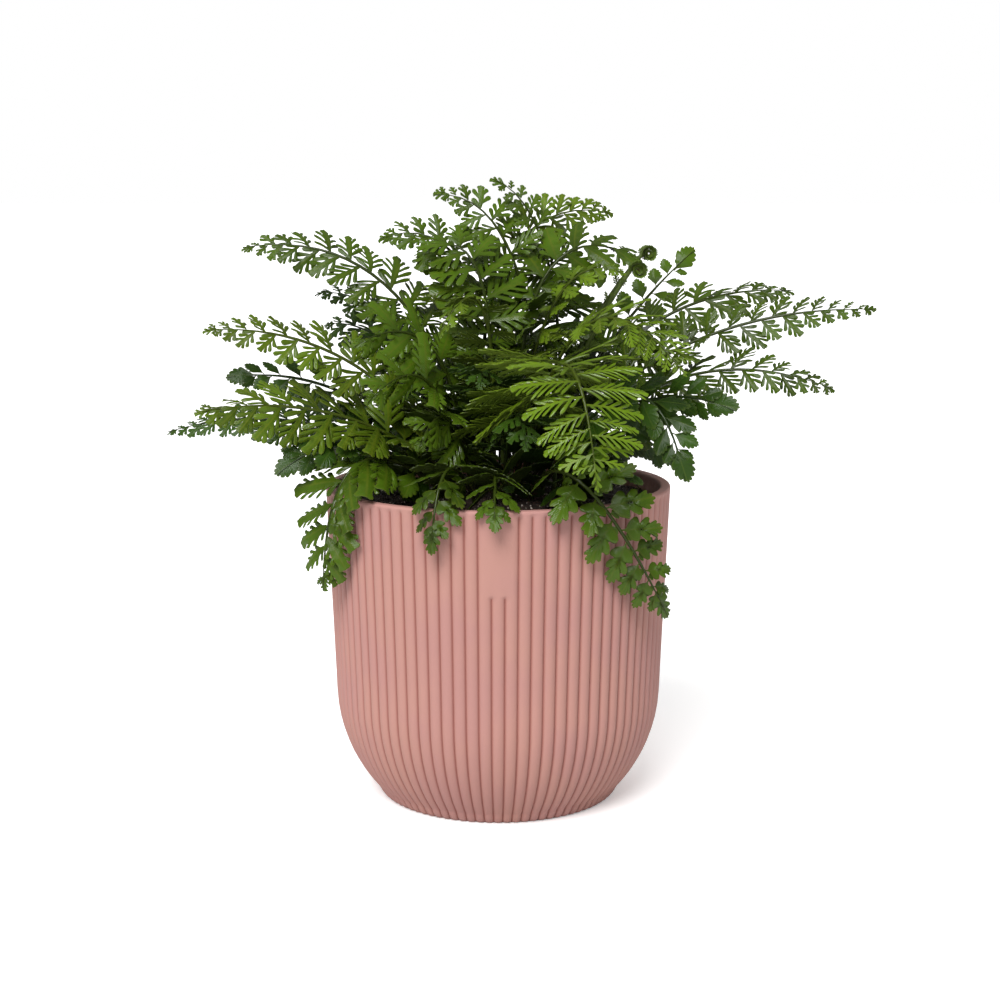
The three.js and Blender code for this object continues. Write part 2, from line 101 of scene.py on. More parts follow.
# The section's rows: (height, inset from the wall) on the foot, heights on the ribbed wall,
# (height from the band's lower edge, share of the band) and (height from the rim's top, share of
# the ribs).
FOOT_ROWS = ((0.35, 0.5), (0.9, 0.12), (1.8, 0), (3.0, 0.05), (3.9, 0.22), (4.4, 0.3))
WALL_ROWS = (5.0, 5.8, 7.0, 8.6, 10.6, 13, 16, 19.5, 23.5, 28, 33, 38.5, 44, 50, 60, 72, 84, 92)
BAND_ROWS = ((-0.8, 0), (-0.2, 0.12), (0.4, 0.5), (1, 0.88), (1.6, 1), (9, 1), (18, 1), (26, 1))
RIM_ROWS = ((-3.3, 1), (-2.5, 0.86), (-1.8, 0.5), (-1.2, 0.2))
# How round a rib's section is; at 1 it is half an ellipse.
RIB_ROUNDNESS = 0.6
# The ribs' share on the inner wall, where they are shallow hollows, and the rows below the rim
# where they set in: (height from the rim's top, inset, share).
INNER_RIBS = -0.22
INNER_ROWS = ((-1.9, 0.02, -0.1), (-2.7, 0, INNER_RIBS))
# Points closer than this, in metres, are one.
MERGE_GAP = 0.005 * MM

# Soil, in millimetres.
SOIL_HEIGHT = 121.5
SOIL_MOUND = 3
SOIL_LUMP = 0.7
SOIL_GAP = 0.35
# Lumps: how fast they follow each other sideways and forwards.
LUMP_RATES = (0.21, 0.17)
# The small unevenness of the scene's soil, its rate, its fractal's roughness, step and octaves,
# and how wide the edge is where it fades.
SOIL_UNEVEN = 0.75
UNEVEN_RATE = 0.23
UNEVEN_DETAIL = (0.7, 2.2, 4)
EDGE_FADE = 3
SOIL_SECTORS = 128
SOIL_RINGS = 38
# No grains stand on this width along the pot's wall.
GRAIN_MARGIN = 1.2
# Where the cavity's wall below the soil's edge has its rows.
CAVITY_HEIGHTS = (42, 24, 13.5)
# Loose grains of unit length: name, mark, half widths and how many shapes of it.
GRAINS = (
    ("crumb", 0.0, (0.5, 0.42, 0.36), 6),
    ("chip", 0.45, (0.6, 0.34, 0.14), 3),
    ("speck", 1.0, (0.42, 0.38, 0.34), 1),
)
# The smallest and the largest grain beside a middling one, how far a shape's corners stand from
# its middle, and the most that a grain turns.
GRAIN_SCALES = (0.35, 1.6)
GRAIN_DRAW = (0.72, 1.2)
GRAIN_TURN = 6.28

# Stalks, in millimetres: the width at the foot and at the tip, how far above the soil the curve
# starts and how far below its start the stalk ends.
STIPE_WIDTH = 1.7
TIP_WIDTH = 1.1
KNEE = 2
STUB_DEPTH = 8.6
# How much wider than a stalk the room is that it keeps.
TUBE_MARGIN = 1.3
ARC_STEPS = 100
STALK_ROWS = 26
# The midrib fades from this share of its length on, by FADE_FALL, to FADED at least.
FADE_FROM = 0.8
FADE_FALL = 0.8
FADED = 0.22
# The share of the last leaflet's length that the midrib stops short of the tip.
SHORT_OF_TIP = 0.12

# Leaflets, in millimetres, degrees and shares: how far they close up towards the tip, the lowest
# ones' size, which grows to full over FULL_SIZE_FROM, and the smallest size.
CLOSING = 24
FIRST_SIZE = 0.86
FULL_SIZE_FROM = 0.25
SMALLEST = 3.6
# A frond's inner part has uncut leaflets of INNER_SIZE that lean about more.
INNER_SHARE = 0.3
INNER_SIZE = 18
INNER_SIZES = (0.8, 1.15)
INNER_LEAN = 60
# How much darker the inner leaflets are: painted shade deep inside the plant.
INNER_SHADE = 0.15
# Where a frond rises steeply, its leaflets spread more and turn their faces to the light.
STEEP_SPREAD = 16
LIGHT_TURN = 0.8
LIGHT_LIMIT = 80
# What differs from leaflet to leaflet at random: share of the size, degrees of turn, degrees of
# tilt and the tint, to which the way to the tip adds.
SIZE_DRAW = (0.92, 1.08)
TURN_DRAW = 8
TILT_DRAW = (10, 32)
TINT_DRAW = 0.3
TIP_TINT = 0.25
# Where the small extra leaflets stand, as a share of the pitch, and the last leaflet's length and
# tint beside its kind's.
BETWEEN = 0.55
LAST_LENGTH = 1.25
LAST_TINT = 0.12
# How far inside the solids' box every leaflet stays.
BOX_MARGIN = 0.5
# Edges that bend by more than this stay crisp.
CRISP_ANGLE = 50
# The length of the last leaflet of the solid that a frond takes the place of.
SOLID_LAST = {"lacy": 11.25, "frill": 11.25, "oak": 11.25, "comb": 13.95, "broad": 9, "fan": 9}

# Leaflets of a frond: length, spread from the midrib, pitch along it, how fast they shorten, the
# last leaflet's share of that length, how far they lift out of the blade's plane, and how many
# lobes a side the leaflet has in each of the four stretches that LOBE_STEPS parts.
LEAVES = {
    "lacy": {"length": 24, "spread": 72, "pitch": 4.7, "taper": 0.5, "last": 0.2, "lift": 0,
             "lobes": (4, 4, 3, 2)},
    "frill": {"length": 27, "spread": 70, "pitch": 4.8, "taper": 0.48, "last": 0.18, "lift": 0,
              "lobes": (5, 4, 3, 2)},
    "oak": {"length": 25, "spread": 68, "pitch": 4.6, "taper": 0.4, "last": 0.2, "lift": 0,
            "lobes": (4, 4, 3, 3)},
    "comb": {"length": 30, "spread": 70, "pitch": 4.2, "taper": 0.34, "last": 0.25, "lift": 14,
             "lobes": (9, 8, 6, 3)},
    "broad": {"length": 20, "spread": 62, "pitch": 4.8, "taper": 0.3, "last": 0.5, "lift": 0,
              "lobes": (2, 2, 2, 2)},
    "fan": {"length": 15.5, "spread": 60, "pitch": 4.5, "taper": 0.26, "last": 0.6, "lift": 0,
            "lobes": (3, 3, 3, 3)},
}
# How the leaflets' pitch changes from a frond's lowest leaflet to its tip.
PITCHES = (0.6, 0.9, 1.08, 0.92, 0.5)
# The shares of a frond at which its leaflets' lobes become fewer.
LOBE_STEPS = (0.4, 0.68, 0.86)
# Cut leaflets in shares of their length, each list running from the blade's start to its end.
# wing is half the undivided blade's width; near and far are the lobes' lengths, near being the
# side towards the frond's tip; angle is the lobes' angle.
SHAPES = {
    "lacy": {"stalk": 0.05, "top": 0.76, "wing": (0.03, 0.052, 0.066, 0.072, 0.074),
             "near": (0.4, 0.43, 0.38, 0.3, 0.2), "far": (0.28, 0.39, 0.35, 0.28, 0.18),
             "angle": (50, 30), "flare": 1.88},
    "frill": {"stalk": 0.05, "top": 0.78, "wing": (0.03, 0.055, 0.07, 0.078, 0.08),
              "near": (0.42, 0.45, 0.4, 0.31, 0.2), "far": (0.3, 0.41, 0.37, 0.29, 0.18),
              "angle": (50, 30), "flare": 1.66},
    "oak": {"stalk": 0.05, "top": 0.78, "wing": (0.04, 0.1, 0.13, 0.135, 0.115),
            "near": (0.27, 0.27, 0.23, 0.19, 0.15), "far": (0.2, 0.25, 0.22, 0.18, 0.14),
            "angle": (48, 30), "flare": 1.52},
    "comb": {"stalk": 0.05, "top": 0.88, "wing": (0.018, 0.02, 0.023, 0.026, 0.028),
             "near": (0.26, 0.31, 0.29, 0.22, 0.12), "far": (0.2, 0.29, 0.27, 0.21, 0.11),
             "angle": (42, 28), "flare": 1.36},
}
# Uncut leaflets: half an outline from the stalk's foot to the tip, with rounded teeth, and the
# point that its surface arches over.
PLATES = {
    "broad": {"half": ((0, 0.016), (0.08, 0.02), (0.12, 0.05), (0.16, 0.13), (0.22, 0.21),
                       (0.31, 0.27), (0.385, 0.275), (0.42, 0.24), (0.41, 0.17), (0.445, 0.13),
                       (0.5, 0.19), (0.58, 0.25), (0.65, 0.262), (0.69, 0.225), (0.675, 0.155),
                       (0.7, 0.115), (0.76, 0.165), (0.83, 0.195), (0.87, 0.165), (0.85, 0.105),
                       (0.92, 0.115), (0.955, 0.085), (0.935, 0.04), (0.985, 0.025)),
              "middle": 0.46},
    "fan": {"half": ((0, 0.018), (0.1, 0.022), (0.16, 0.055), (0.27, 0.15), (0.38, 0.24),
                     (0.47, 0.3), (0.54, 0.31), (0.585, 0.285), (0.585, 0.235), (0.65, 0.27),
                     (0.72, 0.278), (0.76, 0.245), (0.75, 0.2), (0.81, 0.212), (0.87, 0.19),
                     (0.885, 0.15), (0.865, 0.11), (0.93, 0.115), (0.965, 0.075), (0.95, 0.04),
                     (0.99, 0.025)),
            "middle": 0.5},
}
VARIANTS = 3
# The toothed end of a lobe: shares of its length and of its half width.
LOBE_END = ((0.76, -0.96), (0.91, -0.68), (0.91, -0.34), (1, 0), (0.91, 0.34), (0.91, 0.68),
            (0.76, 0.96))
LOBE_ROWS = ((0.3, 0.76), (0.64, 1))
# Half a leaflet's thickness on its stem, on its rib, in its blade and at its edge.
STEM_HALF = 0.014
RIB_HALF = 0.018
BLADE_HALF = 0.012
EDGE_HALF = 0.006
# The half thickness and the marks for margin and vein on a lobe's edge and on its vein.
LOBE_EDGE = (EDGE_HALF, 1, 0)
LOBE_VEIN = (BLADE_HALF, 0, 1)
# What differs from shape to shape at random: how far the tip droops, how far it bends sideways,
# the lobes' length, angle, tilt and curl, and the curl of the lobe at the tip.
DROOPS = {"cut": (0.06, 0.26), "uncut": (0.08, 0.28)}
BENDS = {"cut": (-0.03, 0.13), "uncut": (-0.02, 0.1)}
LOBE_LENGTHS = (0.92, 1.08)
LOBE_TURN = 4
LOBE_TILT = 0.32
LOBE_CURLS = (-0.36, 0.06)
TIP_CURLS = (-0.16, 0.02)
# The same for uncut leaflets: their arch, how much wider their upper side is, and their points.
ARCHES = (0.02, 0.045)
SKEWS = (1.0, 1.12)
PLATE_WIDTHS = (0.94, 1.06)
# How far the blade falls from its rib to its edges, and a lobe from its vein to its own, and what
# share of the leaflet's droop a lobe takes back, so that it lies flatter.
BLADE_FALL = 0.2
LOBE_FALL = 0.42
LOBE_FLATNESS = 0.35
# An uncut leaflet's inner ring of points as a share of its outline, and its lift there and at the
# edge.
PLATE_RING = 0.55
PLATE_LIFT = 0.12
PLATE_EDGE = 0.06
# How far up the stalk a frond's leaflets start, where DETAILS has no bare for it.
BARE_SHARE = 0.14
# What sets a frond's leaflets apart from others of their kind. size and pitch are factors on the
# kind's; taper, spread and lift take the place of the kind's; bare is the share of the stalk
# without leaflets; bright is how much brighter they are; turn is the blade's roll where it isn't
# the solid's; small is the size of the extra leaflets between each two, as a share of theirs.
DETAILS = {
    "trail_right": {"turn": 92, "bright": 0.35, "bare": 0.26, "small": 0.42, "size": 1.12,
                    "spread": 74},
    "trail_left": {"size": 1.15, "bright": 0.4, "pitch": 0.9},
    "rim_front": {"bright": 0.3},
    "rim_left": {"bright": -0.1},
    "low_left": {"size": 1.25, "turn": -62},
    "low_right": {"bare": 0.1, "size": 1.25, "turn": 52, "pitch": 0.9},
    "face_right": {"bright": 1.2, "bare": 0.3, "size": 1.15, "spread": 100, "lift": 20,
                   "pitch": 0.74},
    "face_left": {"turn": -52, "bright": 0.1, "size": 1.1},
    "far_left": {"bright": 0.35, "size": 0.85, "turn": -34},
    "mid_left": {"turn": -60, "size": 1.1},
    "lace_left": {"turn": -45, "bare": 0.16},
    "high_left": {"bright": 0.3},
    "hand_left": {"size": 0.9, "bright": 0.3, "bare": 0.1, "turn": -48},
    "arch_left_a": {"bright": 1.0, "turn": -66, "size": 1.1, "pitch": 1.2},
    "arch_left_b": {"bright": 0.75, "turn": -62, "pitch": 1.2},
    "fill_low": {"bare": 0.06},
    "fill_front": {"bare": 0.08},
    "drape_left": {"size": 0.75, "bright": 0.2, "bare": 0.24},
    "arch_right": {"size": 0.85, "bright": 0.35, "bare": 0.24, "pitch": 0.9},
    "side_right": {"bare": 0.1, "size": 1.25, "turn": 76, "pitch": 0.9},
    "mid_right": {"turn": 45, "size": 0.85},
    "far_right": {"turn": 48, "bright": 0.1, "size": 0.9},
    "fill_right": {"bright": 0.3},
    "back_right_low": {"bare": 0.12, "size": 1.2, "turn": 70},
    "broad_right": {"size": 1.3, "bright": 0.5, "turn": 56, "bare": 0.1, "taper": 0.36},
    "top_right": {"size": 1.15, "bright": 0.3, "taper": 0.3, "pitch": 0.9},
    "top_left": {"size": 1.05, "bright": 0.4, "taper": 0.34, "pitch": 0.85},
    "crown_back": {"size": 1.2, "bright": 0.3, "taper": 0.6, "pitch": 0.85, "turn": -66},
    "crown_left": {"size": 1.2, "bright": 0.4, "taper": 0.6, "pitch": 0.8, "turn": -64},
    "crown_right": {"size": 1.05, "taper": 0.5, "pitch": 0.8, "turn": 64},
    "crown_low": {"size": 1.2, "bright": 0.4, "taper": 0.5, "pitch": 0.85, "turn": -56},
    "rear_a": {"bare": 0.1},
}

# A leaflet that would cross something is folded about its root, then made shorter.
FOLDS = (0, -10, 10, -24, 24, -38, 38, -54, 54)
SIZES = (1, 0.84, 0.68, 0.52)

# Fronds: name, leaflets, colour, foot, tip, crest, roll. foot is (azimuth, radius), tip is
# (azimuth, radius, height) and crest is (share of the way out, height, sideways shift); roll turns
# the blade about its own midrib.
FRONDS = (
    ("trail_right", "broad", "green", (300, 25), (325, 81, 82), (0.6, 170, -50), 0),
    ("trail_left", "oak", "green", (215, 26), (210, 79, 91), (0.95, 172, 0), -35),
    ("rim_front", "broad", "green", (268, 28), (269, 78, 121), (0.6, 154, 0), 0),
    ("rim_left", "broad", "green", (250, 28), (251, 77, 112), (0.8, 164, 0), 0),
    ("rim_right", "fan", "dark", (316, 28), (312, 80, 135), (0.6, 152, 0), 0),
    ("low_left", "fan", "dark", (198, 22), (201, 93, 136), (0.5, 165, 0), -25),
    ("face_right", "comb", "lime", (296, 14), (293, 92, 138), (0.7, 232, 0), 0),
    ("face_left", "frill", "lime", (192, 14), (200, 124, 162), (0.42, 172, 0), -45),
    ("far_left", "lacy", "dark", (170, 24), (171, 141, 146), (0.45, 166, 0), -20),
    ("mid_left", "fan", "dark", (181, 20), (184, 110, 172), (0.4, 180, 0), -30),
    ("lace_left", "lacy", "lime", (176, 14), (190, 118, 192), (0.36, 196, 0), -35),
    ("high_left", "frill", "green", (168, 9), (175, 105, 223), (0.2, 236, 0), -40),
    ("back_left_a", "lacy", "dark", (156, 16), (163, 80, 204), (0.3, 210, 0), -30),
    ("back_left_b", "frill", "dark", (146, 22), (150, 86, 190), (0.3, 196, 0), -30),
    ("hand_left", "frill", "green", (240, 20), (238, 58, 148), (0.4, 180, 0), -20),
    ("arch_left_a", "oak", "green", (216, 14), (214, 68, 186), (0.15, 212, 0), -35),
    ("arch_left_b", "oak", "green", (226, 21), (226, 72, 166), (0.2, 198, 0), -35),
    ("fill_low", "frill", "dark", (276, 21), (280, 62, 150), (0.3, 182, 0), 0),
    ("fill_front", "frill", "dark", (262, 15), (262, 50, 172), (0.2, 198, 0), 0),
    ("drape_left", "frill", "lime", (256, 8), (236, 42, 190), (0.2, 240, 10), 0),
    ("arch_right", "comb", "lime", (318, 12), (318, 94, 178), (0.3, 236, 0), 20),
    ("low_right", "fan", "dark", (324, 20), (320, 92, 137), (0.75, 206, 0), 20),
    ("side_right", "fan", "dark", (336, 26), (331, 104, 163), (0.4, 182, 0), 25),
    ("mid_right", "frill", "green", (349, 17), (345, 135, 170), (0.42, 196, 0), 35),
    ("far_right", "lacy", "green", (358, 11), (353, 150, 200), (0.35, 202, 0), 35),
    ("fill_right", "lacy", "lime", (342, 5), (342, 53, 213), (0.25, 232, 0), 30),
    ("lace_right", "frill", "green", (8, 15), (10, 125, 205), (0.3, 212, 0), 35),
    ("back_right_low", "fan", "dark", (18, 24), (20, 80, 130), (0.5, 165, 0), 30),
    ("broad_right", "fan", "green", (32, 13), (30, 98, 222), (0.45, 190, 0), 40),
    ("top_right", "oak", "green", (5, 8), (15, 62, 217), (-0.1, 250, 0), 35),
    ("top_left", "frill", "green", (200, 6), (165, 36, 218), (-0.4, 250, 0), -40),
    ("crown_back", "lacy", "green", (34, 30), (100, 19, 251), (-0.2, 240, -13), -50),
    ("crown_left", "frill", "green", (37, 22), (140, 36, 244), (0, 250, 0), -50),
    ("crown_right", "frill", "lime", (135, 11), (40, 65, 236), (0, 252, 12), 50),
    ("crown_low", "lacy", "green", (52, 5), (160, 53, 226), (0.1, 246, -8), -45),
    ("rear_a", "frill", "green", (52, 17), (50, 110, 178), (0.4, 196, 0), 0),
    ("rear_b", "lacy", "green", (72, 11), (72, 96, 208), (0.3, 214, 0), 0),
    ("rear_c", "frill", "green", (88, 18), (88, 118, 172), (0.4, 190, 0), 0),
    ("rear_d", "comb", "lime", (104, 11), (106, 92, 200), (0.3, 216, 0), 0),
    ("rear_e", "lacy", "green", (124, 17), (124, 112, 182), (0.4, 196, 0), 0),
    ("rear_f", "fan", "dark", (64, 25), (62, 98, 140), (0.5, 166, 0), 0),
    ("rear_g", "broad", "green", (100, 25), (102, 84, 108), (0.85, 166, 0), 0),
    ("rear_h", "fan", "dark", (138, 26), (136, 100, 144), (0.5, 168, 0), 0),
)

# Curled young fronds: name, foot, height of the curl's centre, lean outwards, curl's radius.
CROZIERS = (
    ("crozier_a", (286, 6), 172, 3, 4.2),
    ("crozier_b", (3, 23), 214, 30, 3.4),
    ("crozier_c", (22, 20), 220, 44, 3.2),
)
# The curl: how far it turns, how much it tightens and thins towards its heart, how thick it is
# beside the stem, and its steps.
CURL_ANGLE = 3.6 * math.pi
CURL_TIGHTENING = 0.92
CURL_THINNING = 0.5
CURL_WIDTH = 1.06
CURL_STEPS = 52
# A stem's frames end at this share of its height, where the curl takes over.
STEM_END = 0.94
STEM_FRAMES = 14
STEM_LEAVES_FROM = 6
# Their small leaflets: the size where the curl starts, how much they grow with each frame down
# the stem, how much smaller those at the curl's heart are, and their angles in degrees.
TINY = 3.2
TINY_GROWTH = 0.55
TINY_THINNING = 0.5
TINY_SPREAD = 50
TINY_FOLD = 30
TINY_TILT = 10

# Scales on a frond's stalk, up to a reach, and on a crozier, in millimetres.
SCALES = {"reach": 14, "count": 9, "size": 2.6}
WOOL = {"count": 34, "size": 1.4}

# Camera, in metres and degrees, as fitted to the pot's rim, foot and sides in the photo.
CAMERA_PLACE = (0, -0.744, 0.2465)
CAMERA_TILT = 80.44
CAMERA_LENS = 66.5
CAMERA_SENSOR = 36
CAMERA_SHIFT = 0.0018
CAMERA_NEAR = 0.01
# The studio's walls, as shares of the surroundings' strength: at the left, at the right and in
# glossy faces; and how much brighter the wall behind the plant is, from which share of the way.
LEFT_WALL = 1.06
RIGHT_WALL = 0.8
MIRRORED = 0.3
BEHIND = 2.6
BEHIND_FROM = 0.3
# The large soft light: the way that it shines and its apparent width in degrees.
KEY_WAY = (0.27, 0.76, -0.86)
KEY_WIDTH = 34
# The floor: half its side in metres, its colour away from the camera and its glow towards it.
FLOOR_HALF = 30
FLOOR_SHADE = 0.7
FLOOR_GLOW = 0.26


# ---------------------------------------------------------------- settings

def length_setting(name, text, default):
    return bpy.props.FloatProperty(name=name, description=text, default=default, min=0,
                                   soft_max=1.0, subtype="DISTANCE", unit="LENGTH", precision=5)


def colour_setting(name, text, default):
    return bpy.props.FloatVectorProperty(name=name, description=text, default=default, size=3,
                                         subtype="COLOR", min=0, max=1)


class FernPotSettings(bpy.types.PropertyGroup):
    ribs: bpy.props.IntProperty(name="Ribs", description="Ribs round the pot", default=84, min=3)
    rib_columns: bpy.props.IntProperty(
        name="Columns per rib", description="Faces across one rib, an even number",
        default=10, min=4)
    rib_depth: length_setting("Rib depth", "From a rib's crest to the groove", 1.15 * MM)
    band_ribs: bpy.props.IntProperty(
        name="Band width", description="Ribs that the plain front band takes the place of",
        default=3, min=1)
    colour: colour_setting("Plastic", "Colour of the matte plastic", (0.475, 0.24, 0.206))
    # The groove colour is painted shade: a deeper, redder colour where the ribs shade the grooves.
    groove: colour_setting("Groove", "Deeper colour in the grooves", (0.31, 0.115, 0.09))


class FernSoilSettings(bpy.types.PropertyGroup):
    grains: bpy.props.FloatProperty(
        name="Grains per square metre", description="Density of the loose grains",
        default=330000.0, min=0)
    grain_size: length_setting("Grain size", "Length of a middling grain", 1.0 * MM)
    colour: colour_setting("Soil", "Colour of the damp peat", (0.018, 0.011, 0.008))
    speck: colour_setting("Specks", "Colour of the pale mineral specks", (0.62, 0.55, 0.48))


class FernLeafSettings(bpy.types.PropertyGroup):
    stalk_sides: bpy.props.IntProperty(
        name="Stalk sides", description="Faces round a stalk", default=8, min=3)
    wave: length_setting("Waviness", "How far a leaf's surface wanders", 0.35 * MM)
    lime: colour_setting("Lime", "Young full-grown fronds", (0.064, 0.092, 0.007))
    green: colour_setting("Green", "Older fronds", (0.035, 0.055, 0.005))
    dark: colour_setting("Dark", "The oldest, lowest fronds", (0.021, 0.042, 0.006))
    young: colour_setting("Young", "Curled young fronds", (0.085, 0.125, 0.018))
    stalk: colour_setting("Stalk", "Lowest part of the stalks", (0.02, 0.022, 0.006))
    scale: colour_setting("Scales", "Papery brown scales at the feet", (0.075, 0.04, 0.018))


class FernStageSettings(bpy.types.PropertyGroup):
    floor: colour_setting("Floor", "Colour of the pale floor", (0.97, 0.97, 0.97))
    ambient: bpy.props.FloatProperty(
        name="Ambient", description="Strength of the white surroundings", default=0.6, min=0)
    key: bpy.props.FloatProperty(
        name="Key light", description="Strength of the large soft light", default=3.0, min=0)


# ---------------------------------------------------------------- meshes and trees

def mesh_object(name, points, faces, edges=()):
    """A new object of plain points, faces and loose edges, in the scene."""
    mesh = bpy.data.meshes.new(name)
    mesh.from_pydata([tuple(p) for p in points], list(edges), [tuple(f) for f in faces])
    mesh.update()
    made = bpy.data.objects.new(name, mesh)
    bpy.context.scene.collection.objects.link(made)
    return made


def add_attribute(mesh, name, kind, values):
    """Stores a value for each point under a name."""
    attribute = mesh.attributes.new(name, kind, "POINT")
    key = "vector" if kind == "FLOAT_VECTOR" else "value"
    flat = np.asarray(values, dtype=np.int32 if kind == "INT" else np.float32).ravel()
    attribute.data.foreach_set(key, flat)


class Nodes:
    """A node tree in the making: its nodes are added, set and joined one by one."""

    def __init__(self, tree):
        self.tree, self.nodes, self.links = tree, tree.nodes, tree.links

    def add(self, kind, values=None, **settings):
        """A new node with its own settings and the values of its sockets."""
        node = self.nodes.new(kind)
        for key, value in settings.items():
            setattr(node, key, value)
        for key, value in (values or {}).items():
            self.put(node.inputs[key], value)
        return node

    def put(self, socket, value):
        """Joins another socket to this one, or sets its value; a colour gets its alpha."""
        if isinstance(value, bpy.types.NodeSocket):
            self.links.new(value, socket)
        elif socket.type == "RGBA" and len(value) == 3:
            socket.default_value = (*value, 1)
        else:
            socket.default_value = value

    def math(self, operation, *values):
        node = self.add("ShaderNodeMath", operation=operation)
        for socket, value in zip(node.inputs, values):
            self.put(socket, value)
        return node.outputs[0]

    def plus(self, first, second):
        return self.math("ADD", first, second)

    def minus(self, first, second):
        return self.math("SUBTRACT", first, second)

    def times(self, first, second):
        return self.math("MULTIPLY", first, second)

    def split(self, vector):
        """A vector's three parts."""
        return self.add("ShaderNodeSeparateXYZ", {"Vector": vector}).outputs


class Tree(Nodes):
    """A geometry tree with named inputs."""

    def __init__(self, name, inputs):
        super().__init__(bpy.data.node_groups.new(name, "GeometryNodeTree"))
        sockets = self.tree.interface
        sockets.new_socket("Geometry", in_out="INPUT", socket_type="NodeSocketGeometry")
        for label, kind in inputs:
            sockets.new_socket(label, in_out="INPUT", socket_type=f"NodeSocket{kind}")
        sockets.new_socket("Geometry", in_out="OUTPUT", socket_type="NodeSocketGeometry")
        self.inputs = self.nodes.new("NodeGroupInput").outputs
        self.end = self.nodes.new("NodeGroupOutput")

    def named(self, name, kind="FLOAT"):
        """What is stored under a name."""
        node = self.add("GeometryNodeInputNamedAttribute", {"Name": name}, data_type=kind)
        return node.outputs["Attribute"]

    def store(self, geometry, name, value):
        """The geometry with a value stored under a name."""
        node = self.add("GeometryNodeStoreNamedAttribute", {"Geometry": geometry, "Name": name},
                        data_type="FLOAT", domain="POINT")
        self.put(next(s for s in node.inputs if s.name == "Value" and s.enabled), value)
        return node.outputs["Geometry"]

    def random(self, kind, low, high, seed):
        """A random value for each point, which a seed always draws alike."""
        node = self.add("FunctionNodeRandomValue", {"Seed": seed}, data_type=kind)
        k = ("FLOAT_VECTOR", "FLOAT", "INT").index(kind)
        node.inputs[2 * k].default_value = low
        node.inputs[2 * k + 1].default_value = high
        return node.outputs[k]

    def shapes_of(self, collection):
        """A collection's shapes, to pick from by number."""
        return self.add("GeometryNodeCollectionInfo", {
            "Collection": collection, "Separate Children": True, "Reset Children": True}).outputs[0]

    def joined(self, *parts):
        """The parts as one geometry."""
        node = self.nodes.new("GeometryNodeJoinGeometry")
        for part in parts:
            self.links.new(part, node.inputs[0])
        return node.outputs[0]

    def finish(self, geometry):
        """Ends the tree: everything real, smooth and with its material."""
        real = self.add("GeometryNodeRealizeInstances", {"Geometry": geometry})
        smooth = self.add("GeometryNodeSetShadeSmooth", {"Geometry": real.outputs[0]})
        bend = self.add("GeometryNodeInputMeshEdgeAngle").outputs["Unsigned Angle"]
        sharp = self.math("GREATER_THAN", bend, math.radians(CRISP_ANGLE))
        crisp = self.add("GeometryNodeSetShadeSmooth", {
            "Geometry": smooth.outputs[0], "Selection": sharp, "Shade Smooth": False},
            domain="EDGE")
        painted = self.add("GeometryNodeSetMaterial",
                           {"Geometry": crisp.outputs[0], "Material": self.inputs["Material"]})
        self.links.new(painted.outputs[0], self.end.inputs[0])
        return self.tree


def grown(name, base, group, values):
    """The plain piece that a tree makes of a base object, which it takes the place of."""
    modifier = base.modifiers.new(group.name, "NODES")
    modifier.node_group = group
    for item in group.interface.items_tree:
        if item.in_out == "INPUT" and item.name in values:
            modifier[item.identifier] = values[item.name]
    graph = bpy.context.evaluated_depsgraph_get()
    mesh = bpy.data.meshes.new_from_object(
        base.evaluated_get(graph), preserve_all_data_layers=True, depsgraph=graph)
    base.modifiers.remove(modifier)
    bpy.data.objects.remove(base)
    mesh.name = name
    piece = bpy.data.objects.new(name, mesh)
    bpy.context.scene.collection.objects.link(piece)
    if not mesh.materials or mesh.materials[0] is None:
        mesh.materials.clear()
        mesh.materials.append(values["Material"])
    return piece


def place(piece, slot, *nodes):
    """Gives a piece its body and hides the nodes that it takes the place of; its slot is not used.
    """
    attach(piece, BODY)
    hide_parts(*nodes)


# ---------------------------------------------------------------- materials

# Leaf tones as factors on a frond's own colour, with what is added: in full light, in shade, on
# margins and veins, and on the underside.
LIGHT_TONE = (1.85, 2.3, 1.1)
SHADE_TONE = (0.62, 0.7, 0.6)
PALE_TONE = ((2.1, 1.75, 1.4), (0.02, 0.025, 0.002))
DULL_TONE = ((0.95, 0.95, 0.95), (0.006, 0.011, 0.003))
# The fine veins: how they slant outwards and forwards, and how many there are along a leaflet.
VEIN_SLANT = (0.78, 0.62)
VEIN_RATE = 190.0
# Where the pale tone starts and ends on a margin, on a side vein and along the midrib, and its
# share at both.
PALE_MARKS = ((0.62, 1.0, 0.0, 0.42), (0.72, 1.0, 0.0, 0.3), (0.004, 0.028, 0.4, 0.0))
LEAF_ROUGHNESS = {"lime": 0.22, "green": 0.19, "dark": 0.2, "young": 0.4}


def toned(colour, factors, added=(0, 0, 0)):
    """A colour with each channel multiplied and a little added."""
    return tuple(min(1, c * f + a) for c, f, a in zip(colour, factors, added))


def scaled(colour, factor):
    """A colour made lighter or darker all over."""
    return toned(colour, (factor, factor, factor))


